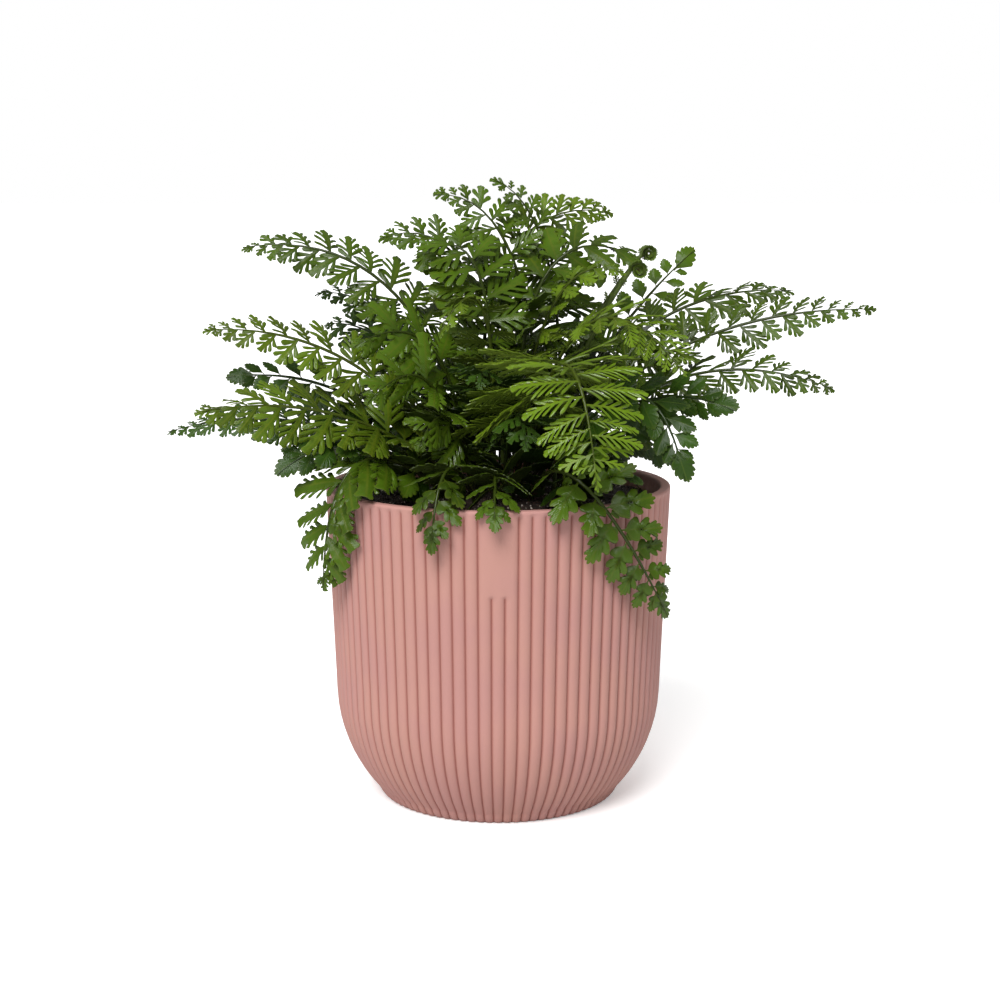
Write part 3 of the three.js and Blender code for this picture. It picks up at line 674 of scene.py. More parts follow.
class Finish(Nodes):
    """A material with one Principled shader."""

    def __init__(self, name):
        self.material = bpy.data.materials.new(name)
        self.material.use_nodes = True
        super().__init__(self.material.node_tree)
        self.shader = self.nodes["Principled BSDF"]
        self.where = self.add("ShaderNodeTexCoord").outputs["Object"]

    def mix(self, share, first, second):
        """The first colour, and the second one by a share."""
        node = self.add("ShaderNodeMix", data_type="RGBA")
        self.put(node.inputs["Factor"], share)
        self.put(next(s for s in node.inputs if s.name == "A" and s.type == "RGBA"), first)
        self.put(next(s for s in node.inputs if s.name == "B" and s.type == "RGBA"), second)
        return next(s for s in node.outputs if s.type == "RGBA")

    def blend(self, value, low, high, start=0.0, end=1.0):
        """value from low..high mapped smoothly to start..end."""
        node = self.add("ShaderNodeMapRange", {"Value": value, "From Min": low, "From Max": high,
                                               "To Min": start, "To Max": end},
                        interpolation_type="SMOOTHSTEP")
        return node.outputs["Result"]

    def noise(self, scale, detail=3.0, roughness=0.5):
        node = self.add("ShaderNodeTexNoise", {"Vector": self.where, "Scale": scale,
                                               "Detail": detail, "Roughness": roughness})
        return node.outputs["Fac"]

    def attribute(self, name, output="Fac"):
        return self.add("ShaderNodeAttribute", attribute_name=name).outputs[output]

    def finish(self, colour, roughness, height=None, distance=0.0, **plain):
        """Sets the shader's inputs; plain ones are the same all over."""
        self.put(self.shader.inputs["Base Color"], colour)
        self.put(self.shader.inputs["Roughness"], roughness)
        if height is not None:
            bump = self.add("ShaderNodeBump",
                            {"Height": height, "Distance": distance, "Strength": 1.0})
            self.put(self.shader.inputs["Normal"], bump.outputs["Normal"])
        for key, value in plain.items():
            self.shader.inputs[key.replace("_", " ")].default_value = value
        return self.material


def plastic_finish(settings):
    """Matte moulded plastic: a fine grain, a faint mottle and painted shade, a deeper colour, in
    the grooves.
    """
    finish = Finish("matte_plastic")
    mottle = finish.noise(38, 4)
    grain = finish.noise(2600, 2)
    warm = toned(settings.colour, (1.02, 1.03, 1.0))
    cool = toned(settings.colour, (0.98, 0.97, 1.0))
    colour = finish.mix(finish.blend(mottle, 0.35, 0.68), cool, warm)
    # Painted shade: the grooves take the deeper, redder groove colour, as where the ribs shade
    # them.
    groove = finish.attribute("groove")
    groove_shade = finish.blend(groove, 0.35, 1.0, 0.0, 0.85)
    colour = finish.mix(groove_shade, colour, tuple(settings.groove))
    rough = finish.plus(0.56, finish.times(mottle, 0.16))
    return finish.finish(colour, rough, grain, 0.05 * MM, Specular_IOR_Level=0.4)


def soil_finish(settings):
    """Damp peat with bark crumbs and pale mineral specks, told apart by the grains' own mark."""
    finish = Finish("potting_soil")
    clumps = finish.noise(420, 5, 0.6)
    fine = finish.noise(2400, 3)
    kind = finish.attribute("grain")
    peat = finish.mix(finish.blend(clumps, 0.35, 0.7), tuple(settings.colour),
                      scaled(settings.colour, 3.2))
    bark = finish.mix(fine, (0.05, 0.024, 0.014), (0.13, 0.07, 0.045))
    colour = finish.mix(finish.blend(kind, 0.25, 0.45), peat, bark)
    colour = finish.mix(finish.blend(kind, 0.6, 0.9), colour, tuple(settings.speck))
    rough = finish.minus(0.95, finish.times(clumps, 0.5))
    return finish.finish(colour, rough, fine, 0.25 * MM)


def leaf_finish(name, tone, settings, roughness):
    """Leathery leaf: paler margins and veins, dull pale underside, fine parallel veins."""
    finish = Finish(name)
    margin, vein, under = finish.split(finish.attribute("marks", "Vector"))
    spot = finish.split(finish.attribute("spot", "Vector"))
    aside = finish.math("ABSOLUTE", spot["Y"])
    slant = finish.minus(finish.times(aside, VEIN_SLANT[0]),
                        finish.times(spot["X"], VEIN_SLANT[1]))
    stripes = finish.math("SINE", finish.times(slant, VEIN_RATE))
    mottle = finish.noise(95, 3)
    shade, pale = toned(tone, SHADE_TONE), toned(tone, *PALE_TONE)
    share = finish.plus(finish.times(mottle, 0.7), finish.attribute("tint"))
    colour = finish.mix(finish.blend(share, -0.35, 1.25), shade, toned(tone, LIGHT_TONE))
    for mark, limits in zip((margin, vein, aside), PALE_MARKS):
        colour = finish.mix(finish.blend(mark, *limits), colour, pale)
    # Painted shade: each leaflet is darker towards its root on the midrib, where the leaflets shade
    # each other.
    inner = finish.blend(spot["X"], 0.0, 0.6, 0.5, 0.0)
    colour = finish.mix(inner, colour, scaled(shade, 0.7))
    colour = finish.mix(finish.times(under, 0.75), colour, toned(tone, *DULL_TONE))
    stalk = finish.attribute("stalk")
    wood = finish.mix(finish.blend(stalk, 0.3, 0.9), scaled(tone, 0.8), tuple(settings.stalk))
    colour = finish.mix(finish.blend(stalk, 0.0, 0.15), colour, wood)
    colour = finish.mix(finish.attribute("scale"), colour, tuple(settings.scale))
    rough = finish.plus(roughness, finish.times(mottle, 0.12))
    rough = finish.plus(rough, finish.times(under, 0.22))
    relief = finish.plus(finish.times(stripes, 0.3), mottle)
    return finish.finish(colour, rough, relief, 0.08 * MM, Specular_IOR_Level=0.3)


def leaf_finishes(settings):
    """A finish for each of the fronds' tones and for the croziers'."""
    return {tone: leaf_finish(f"frond_{tone}", tuple(getattr(settings, tone)), settings, roughness)
            for tone, roughness in LEAF_ROUGHNESS.items()}


# ---------------------------------------------------------------- pot

def wall_radius(height):
    """The pot's outer radius at a height: the foot, the bowl's arc and the straight wall."""
    if height <= CREASE_HEIGHT:
        return FOOT_RADIUS + (CREASE_RADIUS - FOOT_RADIUS) * height / CREASE_HEIGHT
    if height >= WAIST_HEIGHT:
        share = (height - WAIST_HEIGHT) / (POT_HEIGHT - WAIST_HEIGHT)
        return WAIST_RADIUS + (RIM_RADIUS - WAIST_RADIUS) * share
    return WAIST_RADIUS - BOWL_ARC + math.sqrt(BOWL_ARC ** 2 - (WAIST_HEIGHT - height) ** 2)


def pot_profile():
    """The pot's section from the middle of its underside, up the wall, over the rim and down to
    the middle of its floor: radius, height, rib share, band share."""
    rows = [(0, 0, 0, 0), (30, 0, 0, 0), (FOOT_RADIUS - 2.2, 0, 0.2, 0),
            (FOOT_RADIUS - 1, 0.05, 0.5, 0)]
    rows += [(wall_radius(h) - inset, h, 1, 0) for h, inset in FOOT_ROWS]
    rows += [(wall_radius(h), h, 1, 0) for h in WALL_ROWS]
    rows += [(wall_radius(BAND_BOTTOM + rise), BAND_BOTTOM + rise, 1, band)
             for rise, band in BAND_ROWS]
    rows += [(wall_radius(POT_HEIGHT + rise), POT_HEIGHT + rise, ribbed, 1)
             for rise, ribbed in RIM_ROWS]
    inner, edge = RIM_RADIUS - WALL, POT_HEIGHT - RIM_ROUND
    for turn in map(math.radians, (20, 45, 70, 90)):
        rows.append((RIM_RADIUS - RIM_ROUND + RIM_ROUND * math.cos(turn),
                     edge + RIM_ROUND * math.sin(turn), 0.05, 1))
    rows.append(((RIM_RADIUS + inner) / 2, POT_HEIGHT, 0, 0))
    for turn in map(math.radians, (90, 65, 35, 0)):
        rows.append((inner + RIM_ROUND - RIM_ROUND * math.cos(turn),
                     edge + RIM_ROUND * math.sin(turn), 0, 0))
    rows += [(inner + inset, POT_HEIGHT + rise, ribbed, 0) for rise, inset, ribbed in INNER_ROWS]
    rows.append((wall_radius(SOIL_HEIGHT) - WALL, SOIL_HEIGHT, INNER_RIBS, 0))
    rows += [(wall_radius(h) - WALL, h, 0, 0) for h in (100, 70, *CAVITY_HEIGHTS)]
    rows += [(wall_radius(FLOOR) - WALL - FLOOR_CORNER, FLOOR, 0, 0), (20, FLOOR, 0, 0),
             (0, FLOOR, 0, 0)]
    return rows


def ribbed_wall_tree():
    """Turns a section about the pot's axis and sinks a groove between each two ribs."""
    tree = Tree("Ribbed wall", (("Ribs", "Int"), ("Columns per rib", "Int"), ("Rib depth", "Float"),
                                ("Band ribs", "Int"), ("Material", "Material")))
    section = tree.inputs["Geometry"]
    rows = tree.add("GeometryNodeAttributeDomainSize", {"Geometry": section}).outputs["Point Count"]
    per_rib = tree.inputs["Columns per rib"]
    columns = tree.times(tree.inputs["Ribs"], per_rib)
    stride = tree.plus(columns, 1)
    grid = tree.add("GeometryNodeMeshGrid", {"Vertices X": rows, "Vertices Y": stride})
    index = tree.add("GeometryNodeInputIndex").outputs[0]
    row = tree.math("FLOOR", tree.math("DIVIDE", tree.plus(index, 0.5), stride))
    column = tree.minus(index, tree.times(row, stride))

    def sampled(value, kind):
        node = tree.add("GeometryNodeSampleIndex", {"Geometry": section, "Index": row},
                        data_type=kind)
        tree.put(next(s for s in node.inputs if s.name == "Value" and s.enabled), value)
        return next(s for s in node.outputs if s.enabled)

    place_on_section = tree.add("GeometryNodeInputPosition").outputs[0]
    spot = tree.split(sampled(place_on_section, "FLOAT_VECTOR"))
    ribbed = sampled(tree.named("ribbed"), "FLOAT")
    banded = sampled(tree.named("banded"), "FLOAT")
    turn = tree.times(column, tree.math("DIVIDE", 2 * math.pi, columns))
    angle = tree.plus(turn, math.radians(FRONT))
    # across runs from 0 on a rib's crest to 1 in the groove, and a rib is part of an ellipse
    phase = tree.math("FRACT", tree.plus(tree.math("DIVIDE", column, per_rib), 0.5))
    across = tree.times(tree.math("ABSOLUTE", tree.minus(phase, 0.5)), 2)
    share = tree.times(RIB_ROUNDNESS, tree.math("POWER", across, 2))
    arc = tree.math("SQRT", tree.minus(1, share))
    deepest = 1 - math.sqrt(1 - RIB_ROUNDNESS)
    sunk = tree.math("DIVIDE", tree.minus(1, arc), deepest)
    away = tree.math("MINIMUM", column, tree.minus(columns, column))
    more_ribs = tree.minus(tree.inputs["Band ribs"], 1)
    reach = tree.times(tree.times(more_ribs, per_rib), 0.5)
    near = tree.math("LESS_THAN", away, tree.plus(reach, 0.5))
    flat = tree.times(banded, near)
    sunk = tree.times(sunk, tree.minus(1, flat))
    groove = tree.times(sunk, ribbed)
    depth = tree.times(groove, tree.inputs["Rib depth"])
    radius = tree.minus(spot["X"], depth)
    moved = tree.add("ShaderNodeCombineXYZ", {
        "X": tree.times(radius, tree.math("COSINE", angle)),
        "Y": tree.times(radius, tree.math("SINE", angle)),
        "Z": spot["Z"]})
    # The groove's share is stored for the deeper colour in the grooves, which is painted shade.
    marked = tree.store(grid.outputs["Mesh"], "groove", groove)
    wall = tree.add("GeometryNodeSetPosition", {"Geometry": marked, "Position": moved.outputs[0]})
    whole = tree.add("GeometryNodeMergeByDistance",
                     {"Geometry": wall.outputs[0], "Distance": MERGE_GAP})
    return tree.finish(whole.outputs[0])


class FERN_OT_pot(bpy.types.Operator):
    """Makes the ribbed pot with its plain front band"""
    bl_idname = "fern.pot"
    bl_label = "Pot"

    def execute(self, context):
        settings = context.scene.fern_pot
        rows = pot_profile()
        base = mesh_object("pot_section", [(r * MM, 0, z * MM) for r, z, _, _ in rows], (),
                           [(i, i + 1) for i in range(len(rows) - 1)])
        add_attribute(base.data, "ribbed", "FLOAT", [row[2] for row in rows])
        add_attribute(base.data, "banded", "FLOAT", [row[3] for row in rows])
        piece = grown("ribbed_pot", base, ribbed_wall_tree(), {
            "Ribs": settings.ribs, "Columns per rib": settings.rib_columns,
            "Rib depth": settings.rib_depth, "Band ribs": settings.band_ribs,
            "Material": plastic_finish(settings)})
        point_outwards(piece.data)
        place(piece, "pot", "pot")
        return {"FINISHED"}


def point_outwards(mesh):
    """Turns a closed mesh right side out."""
    mesh.calc_loop_triangles()
    corners = np.array([t.vertices[:] for t in mesh.loop_triangles])
    spots = np.array([v.co[:] for v in mesh.vertices])
    a, b, c = (spots[corners[:, k]] for k in range(3))
    if np.einsum("ij,ij->i", a, np.cross(b, c)).sum() < 0:
        mesh.flip_normals()


# ---------------------------------------------------------------- soil

def soil_height(x, y):
    """The soil's height in millimetres at a place: a low mound with a few lumps."""
    share = math.hypot(x, y) / (RIM_RADIUS - WALL)
    lumps = math.sin(x * LUMP_RATES[0] + 1) * math.cos(y * LUMP_RATES[1]) * share
    return SOIL_HEIGHT + SOIL_MOUND * (1 - share ** 2) + SOIL_LUMP * lumps


def soil_body():
    """The soil as one closed body: an uneven top, sides against the pot's wall and a floor."""
    edge = wall_radius(SOIL_HEIGHT) - WALL - SOIL_GAP
    points, faces, loose = [], [], []

    def ring(radius, height, top):
        first = len(points)
        for i in range(SOIL_SECTORS):
            angle = 2 * math.pi * i / SOIL_SECTORS
            x, y = radius * math.cos(angle), radius * math.sin(angle)
            z = height
            if top:
                spot = Vector((x * UNEVEN_RATE, y * UNEVEN_RATE, 4))
                uneven = noise.fractal(spot, *UNEVEN_DETAIL)
                fading = min(1, (edge - radius) / EDGE_FADE + 0.3)
                z = soil_height(x, y) + SOIL_UNEVEN * uneven * fading
            points.append((x * MM, y * MM, z * MM))
            loose.append(1.0 if top and radius < edge - GRAIN_MARGIN else 0.0)
        return first

    rows = [ring(edge * (1 - i / SOIL_RINGS), 0, True) for i in range(SOIL_RINGS)]
    sides = [ring(wall_radius(h) - WALL - SOIL_GAP, h, False) for h in CAVITY_HEIGHTS]
    floor = FLOOR + SOIL_GAP
    sides.append(ring(wall_radius(FLOOR) - WALL - FLOOR_CORNER - SOIL_GAP, floor, False))
    around = sides[::-1] + rows
    points += [(0, 0, floor * MM), (0, 0, soil_height(0, 0) * MM)]
    loose += [0.0, 1.0]
    under, over = len(points) - 2, len(points) - 1
    neighbours = [(i, (i + 1) % SOIL_SECTORS) for i in range(SOIL_SECTORS)]
    for low, high in zip(around, around[1:]):
        faces += [(low + i, low + j, high + j, high + i) for i, j in neighbours]
    for i, j in neighbours:
        faces.append((around[0] + j, around[0] + i, under))
        faces.append((around[-1] + i, around[-1] + j, over))
    base = mesh_object("soil_base", points, faces)
    add_attribute(base.data, "loose", "FLOAT", loose)
    return base


def grain_shapes():
    """A few closed grains of unit length: crumbs, bark chips and pale specks."""
    rng = np.random.default_rng(SEED)
    shapes = bpy.data.collections.new("grain_shapes")
    bpy.context.scene.collection.children.link(shapes)
    for name, mark, size, count in GRAINS:
        for k in range(count):
            bpy.ops.mesh.primitive_ico_sphere_add(subdivisions=1, radius=1)
            grain = bpy.context.object
            grain.name = f"grain_{name}_{k}"
            for vertex in grain.data.vertices:
                corner = Vector(a * b for a, b in zip(vertex.co, size))
                vertex.co = corner * rng.uniform(*GRAIN_DRAW)
            add_attribute(grain.data, "grain", "FLOAT", [mark] * len(grain.data.vertices))
            bpy.context.scene.collection.objects.unlink(grain)
            shapes.objects.link(grain)
    return shapes


def grain_tree():
    """Scatters loose grains over the soil's top and joins them to it."""
    tree = Tree("Loose grains", (("Grains", "Collection"), ("Density", "Float"), ("Size", "Float"),
                                 ("Seed", "Int"), ("Material", "Material")))
    body = tree.inputs["Geometry"]
    top = tree.math("GREATER_THAN", tree.named("loose"), 0.5)
    points = tree.add("GeometryNodeDistributePointsOnFaces", {
        "Mesh": body, "Selection": top, "Density": tree.inputs["Density"],
        "Seed": tree.inputs["Seed"]})
    turn = tree.random("FLOAT_VECTOR", (0, 0, 0), (GRAIN_TURN, GRAIN_TURN, GRAIN_TURN), 3)
    size = tree.random("FLOAT", *GRAIN_SCALES, 5)
    pick = tree.random("INT", 0, sum(row[3] for row in GRAINS) - 1, 9)
    placed = tree.add("GeometryNodeInstanceOnPoints", {
        "Points": points.outputs["Points"], "Instance": tree.shapes_of(tree.inputs["Grains"]),
        "Pick Instance": True, "Instance Index": pick, "Rotation": turn,
        "Scale": tree.times(tree.inputs["Size"], size)})
    return tree.finish(tree.joined(placed.outputs[0], body))


def drop_collection(shapes):
    """Removes shapes that a tree has already read."""
    for shape in list(shapes.objects):
        bpy.data.objects.remove(shape)
    bpy.data.collections.remove(shapes)


class FERN_OT_soil(bpy.types.Operator):
    """Makes the potting soil with its loose grains"""
    bl_idname = "fern.soil"
    bl_label = "Soil"

    def execute(self, context):
        settings = context.scene.fern_soil
        shapes = grain_shapes()
        piece = grown("potting_soil", soil_body(), grain_tree(), {
            "Grains": shapes, "Density": settings.grains, "Size": settings.grain_size,
            "Seed": SEED, "Material": soil_finish(settings)})
        drop_collection(shapes)
        place(piece, "soil", "soil")
        return {"FINISHED"}


# ---------------------------------------------------------------- leaflets

def through(values, share):
    """The value at a share of the way through an evenly spaced list."""
    return float(np.interp(share, np.linspace(0, 1, len(values)), values))


class Sheet:
    """A leaflet's upper surface in shares of its length: x along it, y towards the frond's tip."""

    def __init__(self, droop, bend):
        self.points, self.halves, self.marks, self.faces = [], [], [], []
        self.droop, self.bend = droop, bend

    def put(self, x, y, z=0.0, half=EDGE_HALF, margin=1.0, vein=0.0):
        """Adds a point with half the leaflet's thickness there, and returns its number."""
        self.points.append((x, y + self.bend * x * x, z - self.droop * x * x))
        self.halves.append(half)
        self.marks.append((margin, vein, 0))
        return len(self.points) - 1

    def face(self, *corners):
        """Adds a face that looks upwards."""
        spots = [self.points[i] for i in corners]
        area = sum(a[0] * b[1] - b[0] * a[1] for a, b in zip(spots, spots[1:] + spots[:1]))
        self.faces.append(corners if area > 0 else corners[::-1])

    def lobe(self, start, middle, stop, angle, length, half, tilt, curl):
        """A toothed lobe on the edge points start, middle and stop."""
        x, y, _ = self.points[middle]
        y -= self.bend * x * x
        ahead = (math.cos(angle), math.sin(angle))
        side = (-ahead[1], ahead[0])
        along_x, along_y = (b - a for a, b in zip(self.points[start][:2], self.points[stop][:2]))
        if along_x * side[0] + along_y * side[1] < 0:
            side = (-side[0], -side[1])

        def spot(along, across, surface):
            reach, width = along * length, across * half
            fall = LOBE_FALL * half * abs(across)
            z = tilt * width - fall + curl * reach * along
            return self.put(x + ahead[0] * reach + side[0] * width,
                            y + ahead[1] * reach + side[1] * width,
                            z + self.flatter(x, ahead[0] * reach), *surface)

        low, mid, high = start, middle, stop
        for along, width in LOBE_ROWS:
            row = (spot(along, -width, LOBE_EDGE), spot(along, 0, LOBE_VEIN),
                   spot(along, width, LOBE_EDGE))
            self.face(low, mid, row[1], row[0])
            self.face(mid, high, row[2], row[1])
            low, mid, high = row
        ends = [spot(along, across, LOBE_EDGE) for along, across in LOBE_END]
        for first, second in zip([low, *ends], [*ends, high]):
            self.face(first, mid, second)

    def flatter(self, x, ahead):
        """Lets a lobe leave the blade's own droop a little, so that it lies flatter."""
        return LOBE_FLATNESS * self.droop * ((x + ahead) ** 2 - x * x)


def plate_sheet(shape, rng):
    """An uncut leaflet: a toothed wedge that arches over its middle."""
    sheet = Sheet(rng.uniform(*DROOPS["uncut"]), rng.uniform(*BENDS["uncut"]))
    middle, arch, skew = shape["middle"], rng.uniform(*ARCHES), rng.uniform(*SKEWS)
    upper = [(x, y * skew * rng.uniform(*PLATE_WIDTHS)) for x, y in shape["half"]]
    lower = [(x, -y / skew * rng.uniform(*PLATE_WIDTHS)) for x, y in shape["half"]]
    outline = upper + [(1.0, 0.0)] + lower[::-1]
    centre = sheet.put(middle, 0, 0, BLADE_HALF, 0)
    inner = [sheet.put(middle + PLATE_RING * (x - middle), PLATE_RING * y,
                       (arch + PLATE_LIFT) * PLATE_RING * abs(y), BLADE_HALF, 0.3)
             for x, y in outline]
    outer = [sheet.put(x, y, (PLATE_EDGE - 3 * arch) * abs(y)) for x, y in outline]
    for i in range(len(outline)):
        j = (i + 1) % len(outline)
        sheet.face(centre, inner[i], inner[j])
        sheet.face(inner[i], outer[i], outer[j], inner[j])
    return sheet


def leaflet_sheet(kind, lobes, rng):
    """A leaflet's sheet: uncut, or a blade with a number of lobes a side and one at its tip."""
    if kind in PLATES:
        return plate_sheet(PLATES[kind], rng)
    shape = SHAPES[kind]
    sheet = Sheet(rng.uniform(*DROOPS["cut"]), rng.uniform(*BENDS["cut"]))
    stops = np.linspace(shape["stalk"], shape["top"], 2 * lobes + 1)
    pitch = stops[1] - stops[0]
    # the fewer lobes a leaflet has, the wider is its blade
    widening = (4 / min(lobes, 4)) ** 0.7
    spread = [(0.0, 0.016)] + [(x, widening * through(shape["wing"], i / (2 * lobes)))
                               for i, x in enumerate(stops)]
    middle = [sheet.put(x, 0, -0.006, RIB_HALF, 0, 1) for x, _ in spread]
    sides = {sign: [sheet.put(x, sign * w, -BLADE_FALL * w, EDGE_HALF if i > 1 else STEM_HALF,
                              min(1, i / 2)) for i, (x, w) in enumerate(spread)]
             for sign in (1, -1)}
    for i in range(len(spread) - 1):
        for sign, edge in sides.items():
            lobed = i > 0 and (i % 2 == 1) == (sign == 1)
            if not lobed:
                sheet.face(middle[i], middle[i + 1], edge[i + 1], edge[i])
                continue
            share = (i - 0.5) / (2 * lobes)
            first, last = shape["angle"]
            turn = rng.uniform(-LOBE_TURN, LOBE_TURN)
            angle = math.radians(first + (last - first) * share + turn)
            a, b = np.array(sheet.points[edge[i]]), np.array(sheet.points[edge[i + 1]])
            x, y = ((a + b) / 2)[:2]
            root = sheet.put(x, y - sheet.bend * x * x, -0.1 * spread[i][1], BLADE_HALF, 0.2, 0.8)
            sheet.face(middle[i], middle[i + 1], edge[i + 1], root, edge[i])
            length = through(shape["near" if sign == 1 else "far"], share)
            length *= rng.uniform(*LOBE_LENGTHS)
            half = shape["flare"] * 0.5 * pitch * math.sin(angle)
            sheet.lobe(edge[i], root, edge[i + 1], sign * angle, length, half,
                       rng.uniform(-LOBE_TILT, LOBE_TILT), rng.uniform(*LOBE_CURLS))
    wing = spread[-1][1]
    sheet.lobe(sides[-1][-1], middle[-1], sides[1][-1], rng.uniform(-0.06, 0.06), 1 - shape["top"],
               max(wing * 1.25, 0.05), rng.uniform(-0.1, 0.1), rng.uniform(*TIP_CURLS))
    return sheet


def closed_leaflet(name, sheet, mirrored):
    """The sheet made a thin closed body, its underside marked."""
    flip = -1 if mirrored else 1
    spots = [(x, flip * y, z) for x, y, z in sheet.points]
    faces = [face[::flip] for face in sheet.faces]
    count = len(spots)
    points = [(x, y, z + h) for (x, y, z), h in zip(spots, sheet.halves)]
    points += [(x, y, z - h) for (x, y, z), h in zip(spots, sheet.halves)]
    edges = {(a, b) for face in faces for a, b in zip(face, (*face[1:], face[0]))}
    closed = list(faces) + [tuple(i + count for i in face[::-1]) for face in faces]
    closed += [(b, a, a + count, b + count) for a, b in sorted(edges) if (b, a) not in edges]
    made = mesh_object(name, points, closed)
    add_attribute(made.data, "marks", "FLOAT_VECTOR",
                  list(sheet.marks) + [(m, v, 1) for m, v, _ in sheet.marks])
    add_attribute(made.data, "spot", "FLOAT_VECTOR", [(x, y, 0) for x, y, _ in spots * 2])
    return made


def scale_shape(name):
    """A narrow papery scale, four-sided and closed."""
    points = [(0, 0.09, 0), (0, -0.09, 0), (0.5, 0, 0.1), (0.5, 0, -0.02), (1, 0, 0.22)]
    faces = [(0, 1, 2), (0, 3, 1), (0, 2, 4), (0, 4, 3), (1, 4, 2), (1, 3, 4)]
    made = mesh_object(name, points, faces)
    add_attribute(made.data, "scale", "FLOAT", [1.0] * len(points))
    return made


class LeafShapes:
    """The leaflet shapes, in a collection that the tree picks from, with their points kept for
    the test of what a leaflet would cross."""

    def __init__(self):
        rng = np.random.default_rng(SEED)
        self.collection = bpy.data.collections.new("leaflet_shapes")
        bpy.context.scene.collection.children.link(self.collection)
        self.index, self.solids = {}, []
        for kind, leaf in LEAVES.items():
            for lobes in sorted(set(leaf["lobes"])):
                for variant in range(VARIANTS):
                    sheet = leaflet_sheet(kind, lobes, rng)
                    for mirrored in (False, True):
                        self.add((kind, lobes, variant, mirrored),
                                 lambda name: closed_leaflet(name, sheet, mirrored))
        self.add("scale", scale_shape)

    def add(self, key, make):
        """Makes a shape and keeps it under its key, out of the scene."""
        made = make(f"leaflet_{len(self.solids):03d}")
        self.index[key] = len(self.solids)
        spots = np.array([v.co[:] for v in made.data.vertices])
        self.solids.append((spots, [tuple(p.vertices) for p in made.data.polygons]))
        bpy.context.scene.collection.objects.unlink(made)
        self.collection.objects.link(made)


# ---------------------------------------------------------------- fronds

def polar(azimuth, radius, height=0.0):
    """A place in millimetres from its azimuth in degrees, its radius and its height."""
    angle = math.radians(azimuth)
    return Vector((radius * math.cos(angle), radius * math.sin(angle), height))


class Midrib:
    """A frond's midrib: a quadratic curve from the soil over its crest to its tip."""

    def __init__(self, foot, tip, crest, roll, last_leaflet):
        share, height, swing = crest
        self.foot = polar(*foot)
        self.foot.z = soil_height(self.foot.x, self.foot.y) + KNEE
        end = polar(*tip)
        self.way = Vector((end.x - self.foot.x, end.y - self.foot.y, 0))
        aside = UP.cross(self.way).normalized()
        bend = Vector((self.foot.x, self.foot.y, height)) + self.way * share + aside * swing
        self.corners = (self.foot, bend, end)
        self.roll = math.radians(roll)
        spots = [self.point(i / ARC_STEPS) for i in range(ARC_STEPS + 1)]
        steps = [(b - a).length for a, b in zip(spots, spots[1:])]
        self.run = np.concatenate([[0], np.cumsum(steps)])
        self.whole = self.run[-1]
        self.length = self.whole - last_leaflet

    def point(self, t):
        """The curve's point at its own parameter, from 0 to 1."""
        a, b, c = self.corners
        return a * (1 - t) ** 2 + b * (2 * t * (1 - t)) + c * t ** 2

    def at(self, distance):
        """The place and the frame at a distance: ahead, left across and face out of the blade."""
        u = min(1, max(0, distance / self.whole))
        t = np.interp(u * self.whole, self.run, np.linspace(0, 1, ARC_STEPS + 1))
        a, b, c = self.corners
        ahead = ((b - a) * (1 - t) + (c - b) * t).normalized()
        flat = Vector((ahead.x, ahead.y, 0))
        if flat.dot(self.way) < 0 or flat.length < 0.05:
            flat = self.way
        left = UP.cross(flat).normalized()
        left = (left - ahead * left.dot(ahead)).normalized()
        turn = Matrix.Rotation(self.roll * min(1, 2 * u), 3, ahead)
        return self.point(t), ahead, turn @ left, turn @ ahead.cross(left)


def half_width(rib, distance):
    """Half a stalk's width at a distance along it."""
    return (STIPE_WIDTH + (TIP_WIDTH - STIPE_WIDTH) * distance / rib.length) / 2


class Growth:
    """What a frond's tree grows from: a stalk's line and the leaflets' places."""

    def __init__(self, shapes):
        self.shapes = shapes
        self.line, self.radii, self.ages = [], [], []
        self.rows = []

    def stalk(self, spot, radius, age=1.0):
        """Adds a point to the stalk's line; the age is 1 at its woody foot."""
        self.line.append(Vector(spot))
        self.radii.append(radius)
        self.ages.append(age)

    def leaf(self, key, spot, axes, size, tint):
        """Adds a leaflet or a scale at a place."""
        self.rows.append((self.shapes.index[key], Vector(spot), axes.to_quaternion(), size, tint))

    def base(self, name):
        """The stalk's line and the leaflets' points as one object, with what the tree reads."""
        on_line, on_leaves = len(self.line), len(self.rows)
        kinds, spots, turns, sizes, tints = zip(*self.rows)
        made = mesh_object(name, [spot * MM for spot in (*self.line, *spots)], (),
                           [(i, i + 1) for i in range(on_line - 1)])
        for label, kind, line_values, leaf_values in (
                ("radius", "FLOAT", [r * MM for r in self.radii], [0] * on_leaves),
                ("stalk", "FLOAT", self.ages, [0] * on_leaves),
                ("leaflet", "FLOAT", [0] * on_line, [1] * on_leaves),
                ("kind", "INT", [0] * on_line, kinds),
                ("turn", "QUATERNION", [(1, 0, 0, 0)] * on_line, [tuple(t) for t in turns]),
                ("size", "FLOAT", [0] * on_line, [s * MM for s in sizes]),
                ("tint", "FLOAT", [0] * on_line, tints)):
            add_attribute(made.data, label, kind, [*line_values, *leaf_values])
        return made


